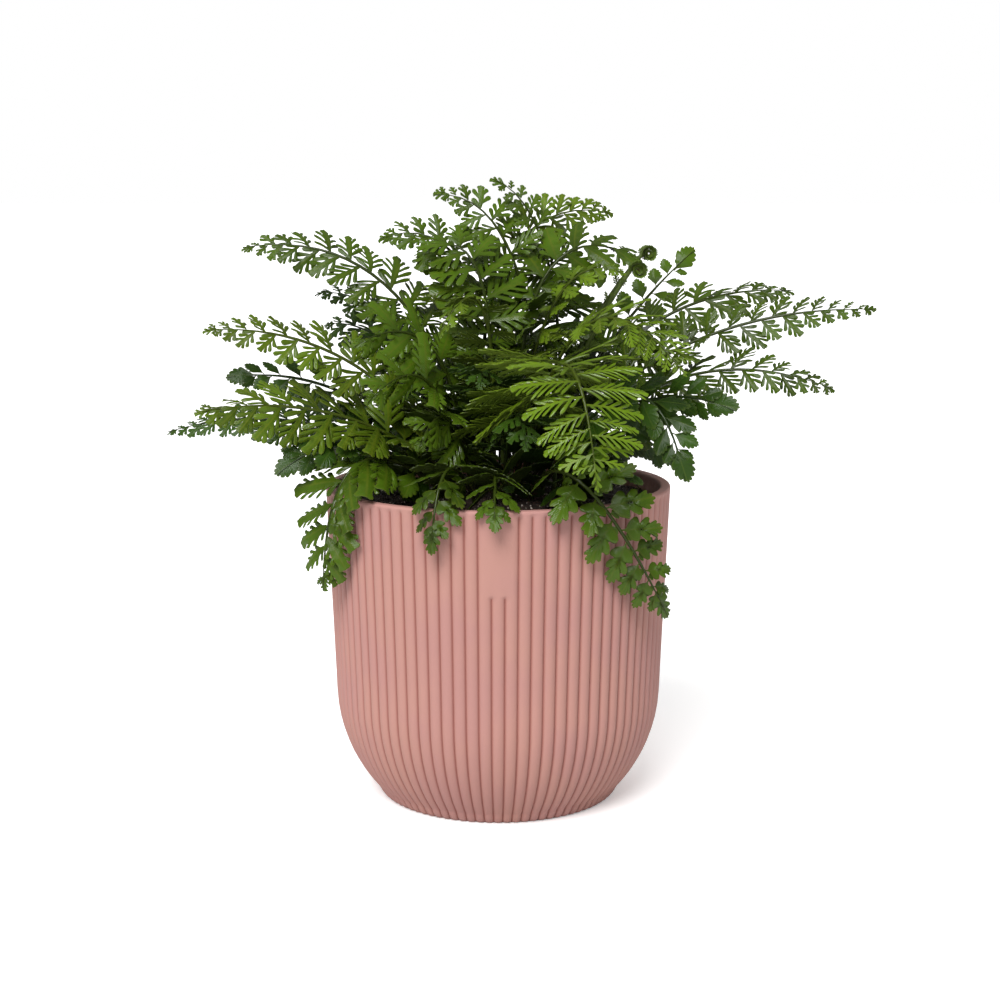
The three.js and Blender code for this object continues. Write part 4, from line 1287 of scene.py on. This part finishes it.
def frond_tree():
    """Sweeps a round stalk along the line and sets a leaflet on each loose point."""
    tree = Tree("Frond", (("Leaflets", "Collection"), ("Stalk sides", "Int"), ("Waviness", "Float"),
                          ("Material", "Material")))
    parts = tree.add("GeometryNodeSeparateGeometry", {
        "Geometry": tree.inputs["Geometry"],
        "Selection": tree.math("GREATER_THAN", tree.named("leaflet"), 0.5)})
    line = tree.add("GeometryNodeMeshToCurve", {"Mesh": parts.outputs["Inverted"]})
    ring = tree.add("GeometryNodeCurvePrimitiveCircle",
                    {"Resolution": tree.inputs["Stalk sides"], "Radius": 1.0})
    tube = tree.add("GeometryNodeCurveToMesh", {
        "Curve": line.outputs[0], "Profile Curve": ring.outputs["Curve"],
        "Scale": tree.named("radius"), "Fill Caps": True})
    leaves = tree.add("GeometryNodeInstanceOnPoints", {
        "Points": parts.outputs["Selection"], "Instance": tree.shapes_of(tree.inputs["Leaflets"]),
        "Pick Instance": True, "Instance Index": tree.named("kind", "INT"),
        "Rotation": tree.named("turn", "QUATERNION"), "Scale": tree.named("size")})
    real = tree.add("GeometryNodeRealizeInstances", {"Geometry": leaves.outputs[0]})
    drift = tree.add("ShaderNodeTexNoise", {"Scale": 55.0, "Detail": 1.0})
    centred = tree.add("ShaderNodeVectorMath", operation="SUBTRACT")
    tree.put(centred.inputs[0], drift.outputs["Color"])
    tree.put(centred.inputs[1], (0.5, 0.5, 0.5))
    shift = tree.add("ShaderNodeVectorMath", operation="SCALE")
    tree.put(shift.inputs[0], centred.outputs[0])
    tree.put(shift.inputs["Scale"], tree.times(tree.inputs["Waviness"], 4))
    waved = tree.add("GeometryNodeSetPosition",
                     {"Geometry": real.outputs[0], "Offset": shift.outputs[0]})
    return tree.finish(tree.joined(tube.outputs[0], waved.outputs[0]))


class Room:
    """What is already there, so that a new leaflet crosses none of it."""

    def __init__(self, low, high):
        self.lows, self.highs, self.trees, self.owners = [], [], [], []
        self.low, self.high = np.array(low) / MM + BOX_MARGIN, np.array(high) / MM - BOX_MARGIN

    def keep(self, spots, faces, owner):
        """Keeps a body's faces in millimetres, with the name of whom they belong to."""
        self.lows.append(spots.min(0))
        self.highs.append(spots.max(0))
        self.trees.append(BVHTree.FromPolygons(spots.tolist(), faces))
        self.owners.append(owner)

    def is_free(self, spots, faces, owner):
        """Whether a body stays in the box and crosses nothing that isn't its owner's."""
        low, high = spots.min(0), spots.max(0)
        if (low < self.low).any() or (high > self.high).any():
            return False
        meets = np.all((np.array(self.lows) < high) & (np.array(self.highs) > low), axis=1)
        near = [i for i in np.flatnonzero(meets) if self.owners[i] != owner]
        if not near:
            return True
        own = BVHTree.FromPolygons(spots.tolist(), faces)
        return all(not own.overlap(self.trees[i]) for i in near)

    def keep_tube(self, line, radii, owner):
        """Keeps a square tube round a stalk's line, in short lengths."""
        for i in range(0, len(line) - 1, 3):
            run = line[i:i + 4]
            spots, faces = [], []
            for k, spot in enumerate(run):
                ahead = (run[min(k + 1, len(run) - 1)] - run[max(k - 1, 0)]).normalized()
                left = ahead.orthogonal().normalized()
                back = ahead.cross(left)
                reach = radii[i + k] * TUBE_MARGIN
                spots += [spot + way * reach for way in (left, back, -left, -back)]
                if k:
                    low = 4 * (k - 1)
                    faces += [(low + n, low + (n + 1) % 4, low + 4 + (n + 1) % 4, low + 4 + n)
                              for n in range(4)]
            self.keep(np.array([tuple(s) for s in spots]), faces, owner)


def frond_line(growth, rib):
    """The stalk from its stub in the soil to the midrib's fading end."""
    growth.stalk(rib.foot - UP * STUB_DEPTH, STIPE_WIDTH / 2)
    growth.stalk(rib.foot - UP * STUB_DEPTH / 2, STIPE_WIDTH / 2)
    last = rib.whole - SHORT_OF_TIP * (rib.whole - rib.length)
    fading = FADE_FROM * rib.length
    for distance in np.linspace(0, last, STALK_ROWS):
        fade = min(1, max(FADED, 1 - (distance - fading) / (last - fading) * FADE_FALL))
        age = 1 - 0.75 * min(1, distance / (0.6 * rib.length))
        growth.stalk(rib.at(distance)[0], half_width(rib, min(distance, rib.length)) * fade, age)


def leaflet_axes(frame_at, side, spread, fold, tilt, lit=0.0):
    """A leaflet's own axes on the midrib: out along it, across it, and out of its upper face,
    which turns upwards, to the light, by a share of the way."""
    _, ahead, left, face = frame_at
    turn = Matrix.Rotation(side * math.radians(fold), 3, ahead)
    aside, normal = turn @ (left * side), turn @ face
    out = aside * math.sin(spread) + ahead * math.cos(spread)
    tip = Matrix.Rotation(-side * math.radians(tilt), 3, out)
    normal = tip @ normal
    if lit:
        upwards = UP - out * out.dot(UP)
        short = math.atan2(normal.cross(upwards).dot(out), normal.dot(upwards))
        limit = math.radians(LIGHT_LIMIT)
        normal = Matrix.Rotation(lit * max(-limit, min(limit, short)), 3, out) @ normal
    across = normal.cross(out)
    return Matrix((out, across, normal)).transposed()


def leaflet_places(rib, leaf, details):
    """How far along the midrib each leaflet stands, and its share of the way to the tip."""
    scale = details.get("size", 1)
    bare = rib.length * details.get("bare", BARE_SHARE)
    run = rib.whole - bare - leaf["last"] * leaf["length"] * scale
    pitch = leaf["pitch"] * details.get("pitch", 1) * (0.5 + 0.5 * scale)
    places, distance = [], 0.0
    while distance < run:
        share = distance / run
        places.append((bare + distance, share))
        distance += pitch * through(PITCHES, share)
    return places


def set_leaflet(growth, room, name, key, root, make_axes, sizes, folds, tint):
    """Sets a leaflet at the first size and fold with which it crosses nothing."""
    spots, faces = growth.shapes.solids[growth.shapes.index[key]]
    for size in sizes:
        for fold in folds:
            axes = make_axes(fold)
            placed = spots @ (np.array(axes).T * size) + np.array(root)
            if room.is_free(placed, faces, name):
                room.keep(placed, faces, f"{name}_leaflet")
                growth.leaf(key, root, axes, size, tint)
                return


def grow_leaflets(growth, room, name, kind, rib, rng):
    """Sets a frond's leaflets on alternate sides of its midrib, and the last one at its tip."""
    leaf, details = LEAVES[kind], DETAILS.get(name, {})
    scale, bright = details.get("size", 1), details.get("bright", 0)
    wide, lift, taper = (details.get(key, leaf[key]) for key in ("spread", "lift", "taper"))
    for i, (start, share) in enumerate(leaflet_places(rib, leaf, details)):
        side = -1 if i % 2 else 1
        opening = FIRST_SIZE + (1 - FIRST_SIZE) * min(1, share / FULL_SIZE_FROM)
        size = scale * leaf["length"] * (1 - share) ** taper * opening * rng.uniform(*SIZE_DRAW)
        size = max(size, SMALLEST)
        frame_at = rib.at(start)
        steep = max(0, frame_at[1].z)
        opened = wide + STEEP_SPREAD * steep - CLOSING * share ** 1.5
        spread = math.radians(opened + rng.uniform(-TURN_DRAW, TURN_DRAW))
        step = sum(share > limit for limit in LOBE_STEPS)
        key = (kind, leaf["lobes"][step], int(rng.integers(VARIANTS)), side == 1)
        tilt, lean = rng.uniform(*TILT_DRAW), rng.uniform(-TURN_DRAW, TURN_DRAW)
        tint = rng.uniform(-TINT_DRAW, TINT_DRAW) + TIP_TINT * (share - 0.5) + bright
        if start < INNER_SHARE * rib.length:
            key = ("fan", LEAVES["fan"]["lobes"][0], *key[2:])
            lean = rng.uniform(-INNER_LEAN, INNER_LEAN)
            size = INNER_SIZE * rng.uniform(*INNER_SIZES)
            # painted shade: the inner leaflets, deep inside the plant, are darker
            tint -= INNER_SHADE
        outwards = side * half_width(rib, min(start, rib.length)) * 0.5
        root = frame_at[0] + frame_at[2] * outwards

        def axes_at(fold):
            return leaflet_axes(frame_at, side, spread, fold + lean + lift, tilt,
                                LIGHT_TURN * steep)

        sizes = [size * s for s in SIZES]
        set_leaflet(growth, room, name, key, root, axes_at, sizes, FOLDS, tint)
        if "small" in details and start > INNER_SHARE * rib.length:
            frame_at = rib.at(start + BETWEEN * leaf["pitch"])
            set_leaflet(growth, room, name, key, frame_at[0], axes_at, [size * details["small"]],
                        FOLDS[:3], tint)
    size = leaf["last"] * leaf["length"] * scale * LAST_LENGTH
    place_at, ahead, _, face = rib.at(rib.whole - size - BOX_MARGIN)
    growth.leaf((kind, leaf["lobes"][3], 0, False), place_at,
                Matrix((ahead, face.cross(ahead), face)).transposed(), size, LAST_TINT + bright)


def grow_scales(growth, frame_at, reach, count, size, rng):
    """Papery scales that lie along a stalk, up to a reach."""
    for _ in range(count):
        spot, ahead, left, _ = frame_at(rng.uniform(0, reach))
        turn = Matrix.Rotation(rng.uniform(0, 2 * math.pi), 3, ahead)
        out = turn @ left
        along = (ahead + out * rng.uniform(0.15, 0.5)).normalized()
        normal = (out - along * out.dot(along)).normalized()
        axes = Matrix((along, normal.cross(along), normal)).transposed()
        root = spot + out * STIPE_WIDTH * 0.42
        growth.leaf("scale", root, axes, size * rng.uniform(0.7, 1.3), 0)


def room_in_pot():
    """The room round the solids' pot and soil."""
    room = Room(*CAD_BOX)
    for node in ("pot", "soil"):
        mesh = frame["nodes"][node].data
        spots = np.array([v.co[:] for v in mesh.vertices]) / MM
        room.keep(spots, [tuple(p.vertices) for p in mesh.polygons], node)
    return room


def grow_plant(shapes):
    """Grows every stalk, then the croziers' leaflets and then the fronds', so that no leaflet
    crosses a stalk; returns each one's piece, node, tone and growth."""
    rng = np.random.default_rng(SEED)
    room = room_in_pot()
    fronds, curls = [], []
    for name, kind, tone, foot, tip, crest, roll in FRONDS:
        rib = Midrib(foot, tip, crest, DETAILS.get(name, {}).get("turn", roll), SOLID_LAST[kind])
        growth = Growth(shapes)
        frond_line(growth, rib)
        room.keep_tube(growth.line, growth.radii, name)
        fronds.append((name, kind, tone, rib, growth))
    for name, foot, height, lean, curl in CROZIERS:
        growth = Growth(shapes)
        frames = grow_crozier(growth, foot, height, lean, curl)
        room.keep_tube(growth.line, growth.radii, name)
        dress_crozier(growth, room, name, frames, rng)
        curls.append((f"curled_{name}", name, "young", growth))
    for name, kind, _, rib, growth in fronds:
        grow_leaflets(growth, room, name, kind, rib, rng)
        grow_scales(growth, rib.at, rng=rng, **SCALES)
    return [(f"fern_{name}", f"frond_{name}", tone, growth)
            for name, _, tone, _, growth in fronds] + curls


class FERN_OT_fronds(bpy.types.Operator):
    """Makes every frond and the curled young fronds"""
    bl_idname = "fern.fronds"
    bl_label = "Fronds"

    def execute(self, context):
        settings = context.scene.fern_leaf
        finishes = leaf_finishes(settings)
        shapes = LeafShapes()
        tree = frond_tree()
        values = {"Leaflets": shapes.collection, "Stalk sides": settings.stalk_sides,
                  "Waviness": settings.wave}
        for name, node, tone, growth in grow_plant(shapes):
            piece = grown(name, growth.base(f"{name}_line"), tree,
                          {**values, "Material": finishes[tone]})
            place(piece, f"frond_{tone}", node)
        drop_collection(shapes.collection)
        return {"FINISHED"}


# ---------------------------------------------------------------- curled young fronds

def grow_crozier(growth, foot, height, lean, curl):
    """A stem that leans outwards as it rises and ends in a curl; returns the frames along it."""
    azimuth, radius = foot
    ground = polar(azimuth, radius)
    ground.z = soil_height(ground.x, ground.y) + KNEE
    ahead = polar(azimuth, 1)
    side = UP.cross(ahead)
    rise = height - ground.z
    width = STIPE_WIDTH / 2
    growth.stalk(ground - UP * STUB_DEPTH, width)
    frames = []

    def push(out, z, slope, half):
        spot = Vector((ground.x, ground.y, z)) + ahead * out
        along = ahead * math.sin(slope) + UP * math.cos(slope)
        growth.stalk(spot, width * half, 0.25)
        frames.append((spot, along, side, along.cross(side)))

    for u in np.linspace(0, STEM_END, STEM_FRAMES):
        push(lean * u * u, ground.z + rise * u, math.atan2(2 * lean * u, rise), 1)
    slope = math.atan2(2 * lean, rise)
    for i in range(CURL_STEPS + 1):
        share = i / CURL_STEPS
        angle = share * CURL_ANGLE
        reach = curl * (1 - CURL_TIGHTENING * share)
        push(lean + curl - reach * math.cos(angle), height + reach * math.sin(angle), slope + angle,
             (1 - CURL_THINNING * share) * CURL_WIDTH)
    return frames


def dress_crozier(growth, room, name, frames, rng):
    """Small leaflets along the stem, tiny folded ones round the curl, and woolly scales."""
    for i in range(STEM_LEAVES_FROM, len(frames)):
        curled = i >= STEM_FRAMES
        if curled and i % 2:
            continue
        spot, along, across, face = frames[i]
        size = TINY + TINY_GROWTH * (STEM_FRAMES - i)
        if curled:
            size = TINY * (1 - TINY_THINNING * i / len(frames))
        for sign in (1, -1):
            key = ("lacy", LEAVES["lacy"]["lobes"][2 if size > 4 else 3], i % VARIANTS, sign == 1)
            fold = TINY_FOLD if curled else rng.uniform(-90, 90)
            axes = leaflet_axes((spot, along, across, -face), sign, math.radians(TINY_SPREAD), fold,
                                TINY_TILT)
            root = spot + across * sign * 0.5
            spots, faces = growth.shapes.solids[growth.shapes.index[key]]
            placed = spots @ (np.array(axes).T * size) + np.array(root)
            if curled or room.is_free(placed, faces, name):
                room.keep(placed, faces, name)
                growth.leaf(key, root, axes, size, 0.1)
    grow_scales(growth, lambda d: frames[int(d)], len(frames) - 1, rng=rng, **WOOL)


# ---------------------------------------------------------------- stage

class Studio(Nodes):
    """A studio of white walls, brighter on the left than on the right and brightest behind."""

    def light(self, strength):
        way = self.split(self.add("ShaderNodeTexCoord").outputs["Generated"])
        sideways = self.spread(way["X"], -1, strength * LEFT_WALL, strength * RIGHT_WALL)
        walls = self.times(sideways, self.spread(way["Y"], BEHIND_FROM, 1, BEHIND))
        path = self.add("ShaderNodeLightPath").outputs
        dulled = self.pick(path["Is Glossy Ray"], walls, strength * MIRRORED)
        background = self.nodes["Background"]
        self.put(background.inputs["Color"], (1, 1, 1))
        self.put(background.inputs["Strength"], self.pick(path["Is Camera Ray"], dulled, 1))

    def spread(self, value, start, low, high):
        """low where the value is at its start, rising or falling to high where it is 1."""
        return self.add("ShaderNodeMapRange", {"Value": value, "From Min": start, "From Max": 1,
                                               "To Min": low, "To Max": high}).outputs[0]

    def pick(self, chosen, otherwise, value):
        """value where chosen is 1, and otherwise the other one."""
        mix = self.add("ShaderNodeMix", {"Factor": chosen, "A": otherwise, "B": value},
                       data_type="FLOAT")
        return mix.outputs["Result"]


class FERN_OT_stage(bpy.types.Operator):
    """Makes the camera, the pale floor and the soft studio light"""
    bl_idname = "fern.stage"
    bl_label = "Stage"

    def execute(self, context):
        settings = context.scene.fern_stage
        scene = context.scene
        camera = bpy.data.objects.new("camera", bpy.data.cameras.new("camera"))
        camera.data.lens = CAMERA_LENS
        camera.data.sensor_width = CAMERA_SENSOR
        camera.data.shift_x = CAMERA_SHIFT
        camera.data.clip_start = CAMERA_NEAR
        camera.location = CAMERA_PLACE
        camera.rotation_euler = (math.radians(CAMERA_TILT), 0, 0)
        scene.collection.objects.link(camera)
        scene.camera = camera
        scene.view_settings.view_transform = "Standard"

        corners = [(x * FLOOR_HALF, y * FLOOR_HALF, 0)
                   for x, y in ((-1, -1), (1, -1), (1, 1), (-1, 1))]
        floor = mesh_object("floor", corners, [(0, 1, 2, 3)])
        finish = Finish("pale_floor")
        seen = finish.add("ShaderNodeLightPath").outputs["Is Camera Ray"]
        pale = tuple(settings.floor)
        colour = finish.mix(seen, scaled(pale, FLOOR_SHADE), pale)
        finish.put(finish.shader.inputs["Emission Strength"],
                   finish.times(seen, FLOOR_GLOW))
        floor.data.materials.append(finish.finish(colour, 0.9, Specular_IOR_Level=0.05,
                                                  Emission_Color=(1, 1, 1, 1)))

        world = bpy.data.worlds.new("studio")
        world.use_nodes = True
        Studio(world.node_tree).light(settings.ambient)
        scene.world = world
        sun = bpy.data.objects.new("key", bpy.data.lights.new("key", "SUN"))
        sun.data.energy = settings.key
        sun.data.angle = math.radians(KEY_WIDTH)
        sun.rotation_euler = Vector(KEY_WAY).to_track_quat("-Z", "Y").to_euler()
        scene.collection.objects.link(sun)
        return {"FINISHED"}


# ---------------------------------------------------------------- panel and run

class FERN_PT_panel(bpy.types.Panel):
    """Lists the fern's pieces with their settings"""
    bl_idname = "FERN_PT_panel"
    bl_label = "Potted Fern"
    bl_space_type = "VIEW_3D"
    bl_region_type = "UI"
    bl_category = "Fern"

    def draw(self, context):
        for operator, group in (("fern.stage", "fern_stage"), ("fern.pot", "fern_pot"),
                                ("fern.soil", "fern_soil"), ("fern.fronds", "fern_leaf")):
            box = self.layout.box()
            box.operator(operator)
            settings = getattr(context.scene, group)
            for key in settings.__annotations__:
                box.prop(settings, key)


SETTINGS = {"fern_pot": FernPotSettings, "fern_soil": FernSoilSettings,
            "fern_leaf": FernLeafSettings, "fern_stage": FernStageSettings}
CLASSES = (*SETTINGS.values(), FERN_OT_stage, FERN_OT_pot, FERN_OT_soil, FERN_OT_fronds,
           FERN_PT_panel)


def register():
    for item in CLASSES:
        bpy.utils.register_class(item)
    for name, group in SETTINGS.items():
        setattr(bpy.types.Scene, name, bpy.props.PointerProperty(type=group))


def unregister():
    for name in SETTINGS:
        delattr(bpy.types.Scene, name)
    for item in reversed(CLASSES):
        bpy.utils.unregister_class(item)


def main():
    register()
    bpy.ops.fern.stage()
    bpy.ops.fern.pot()
    bpy.ops.fern.soil()
    bpy.ops.fern.fronds()


if __name__ == "__main__":
    main()
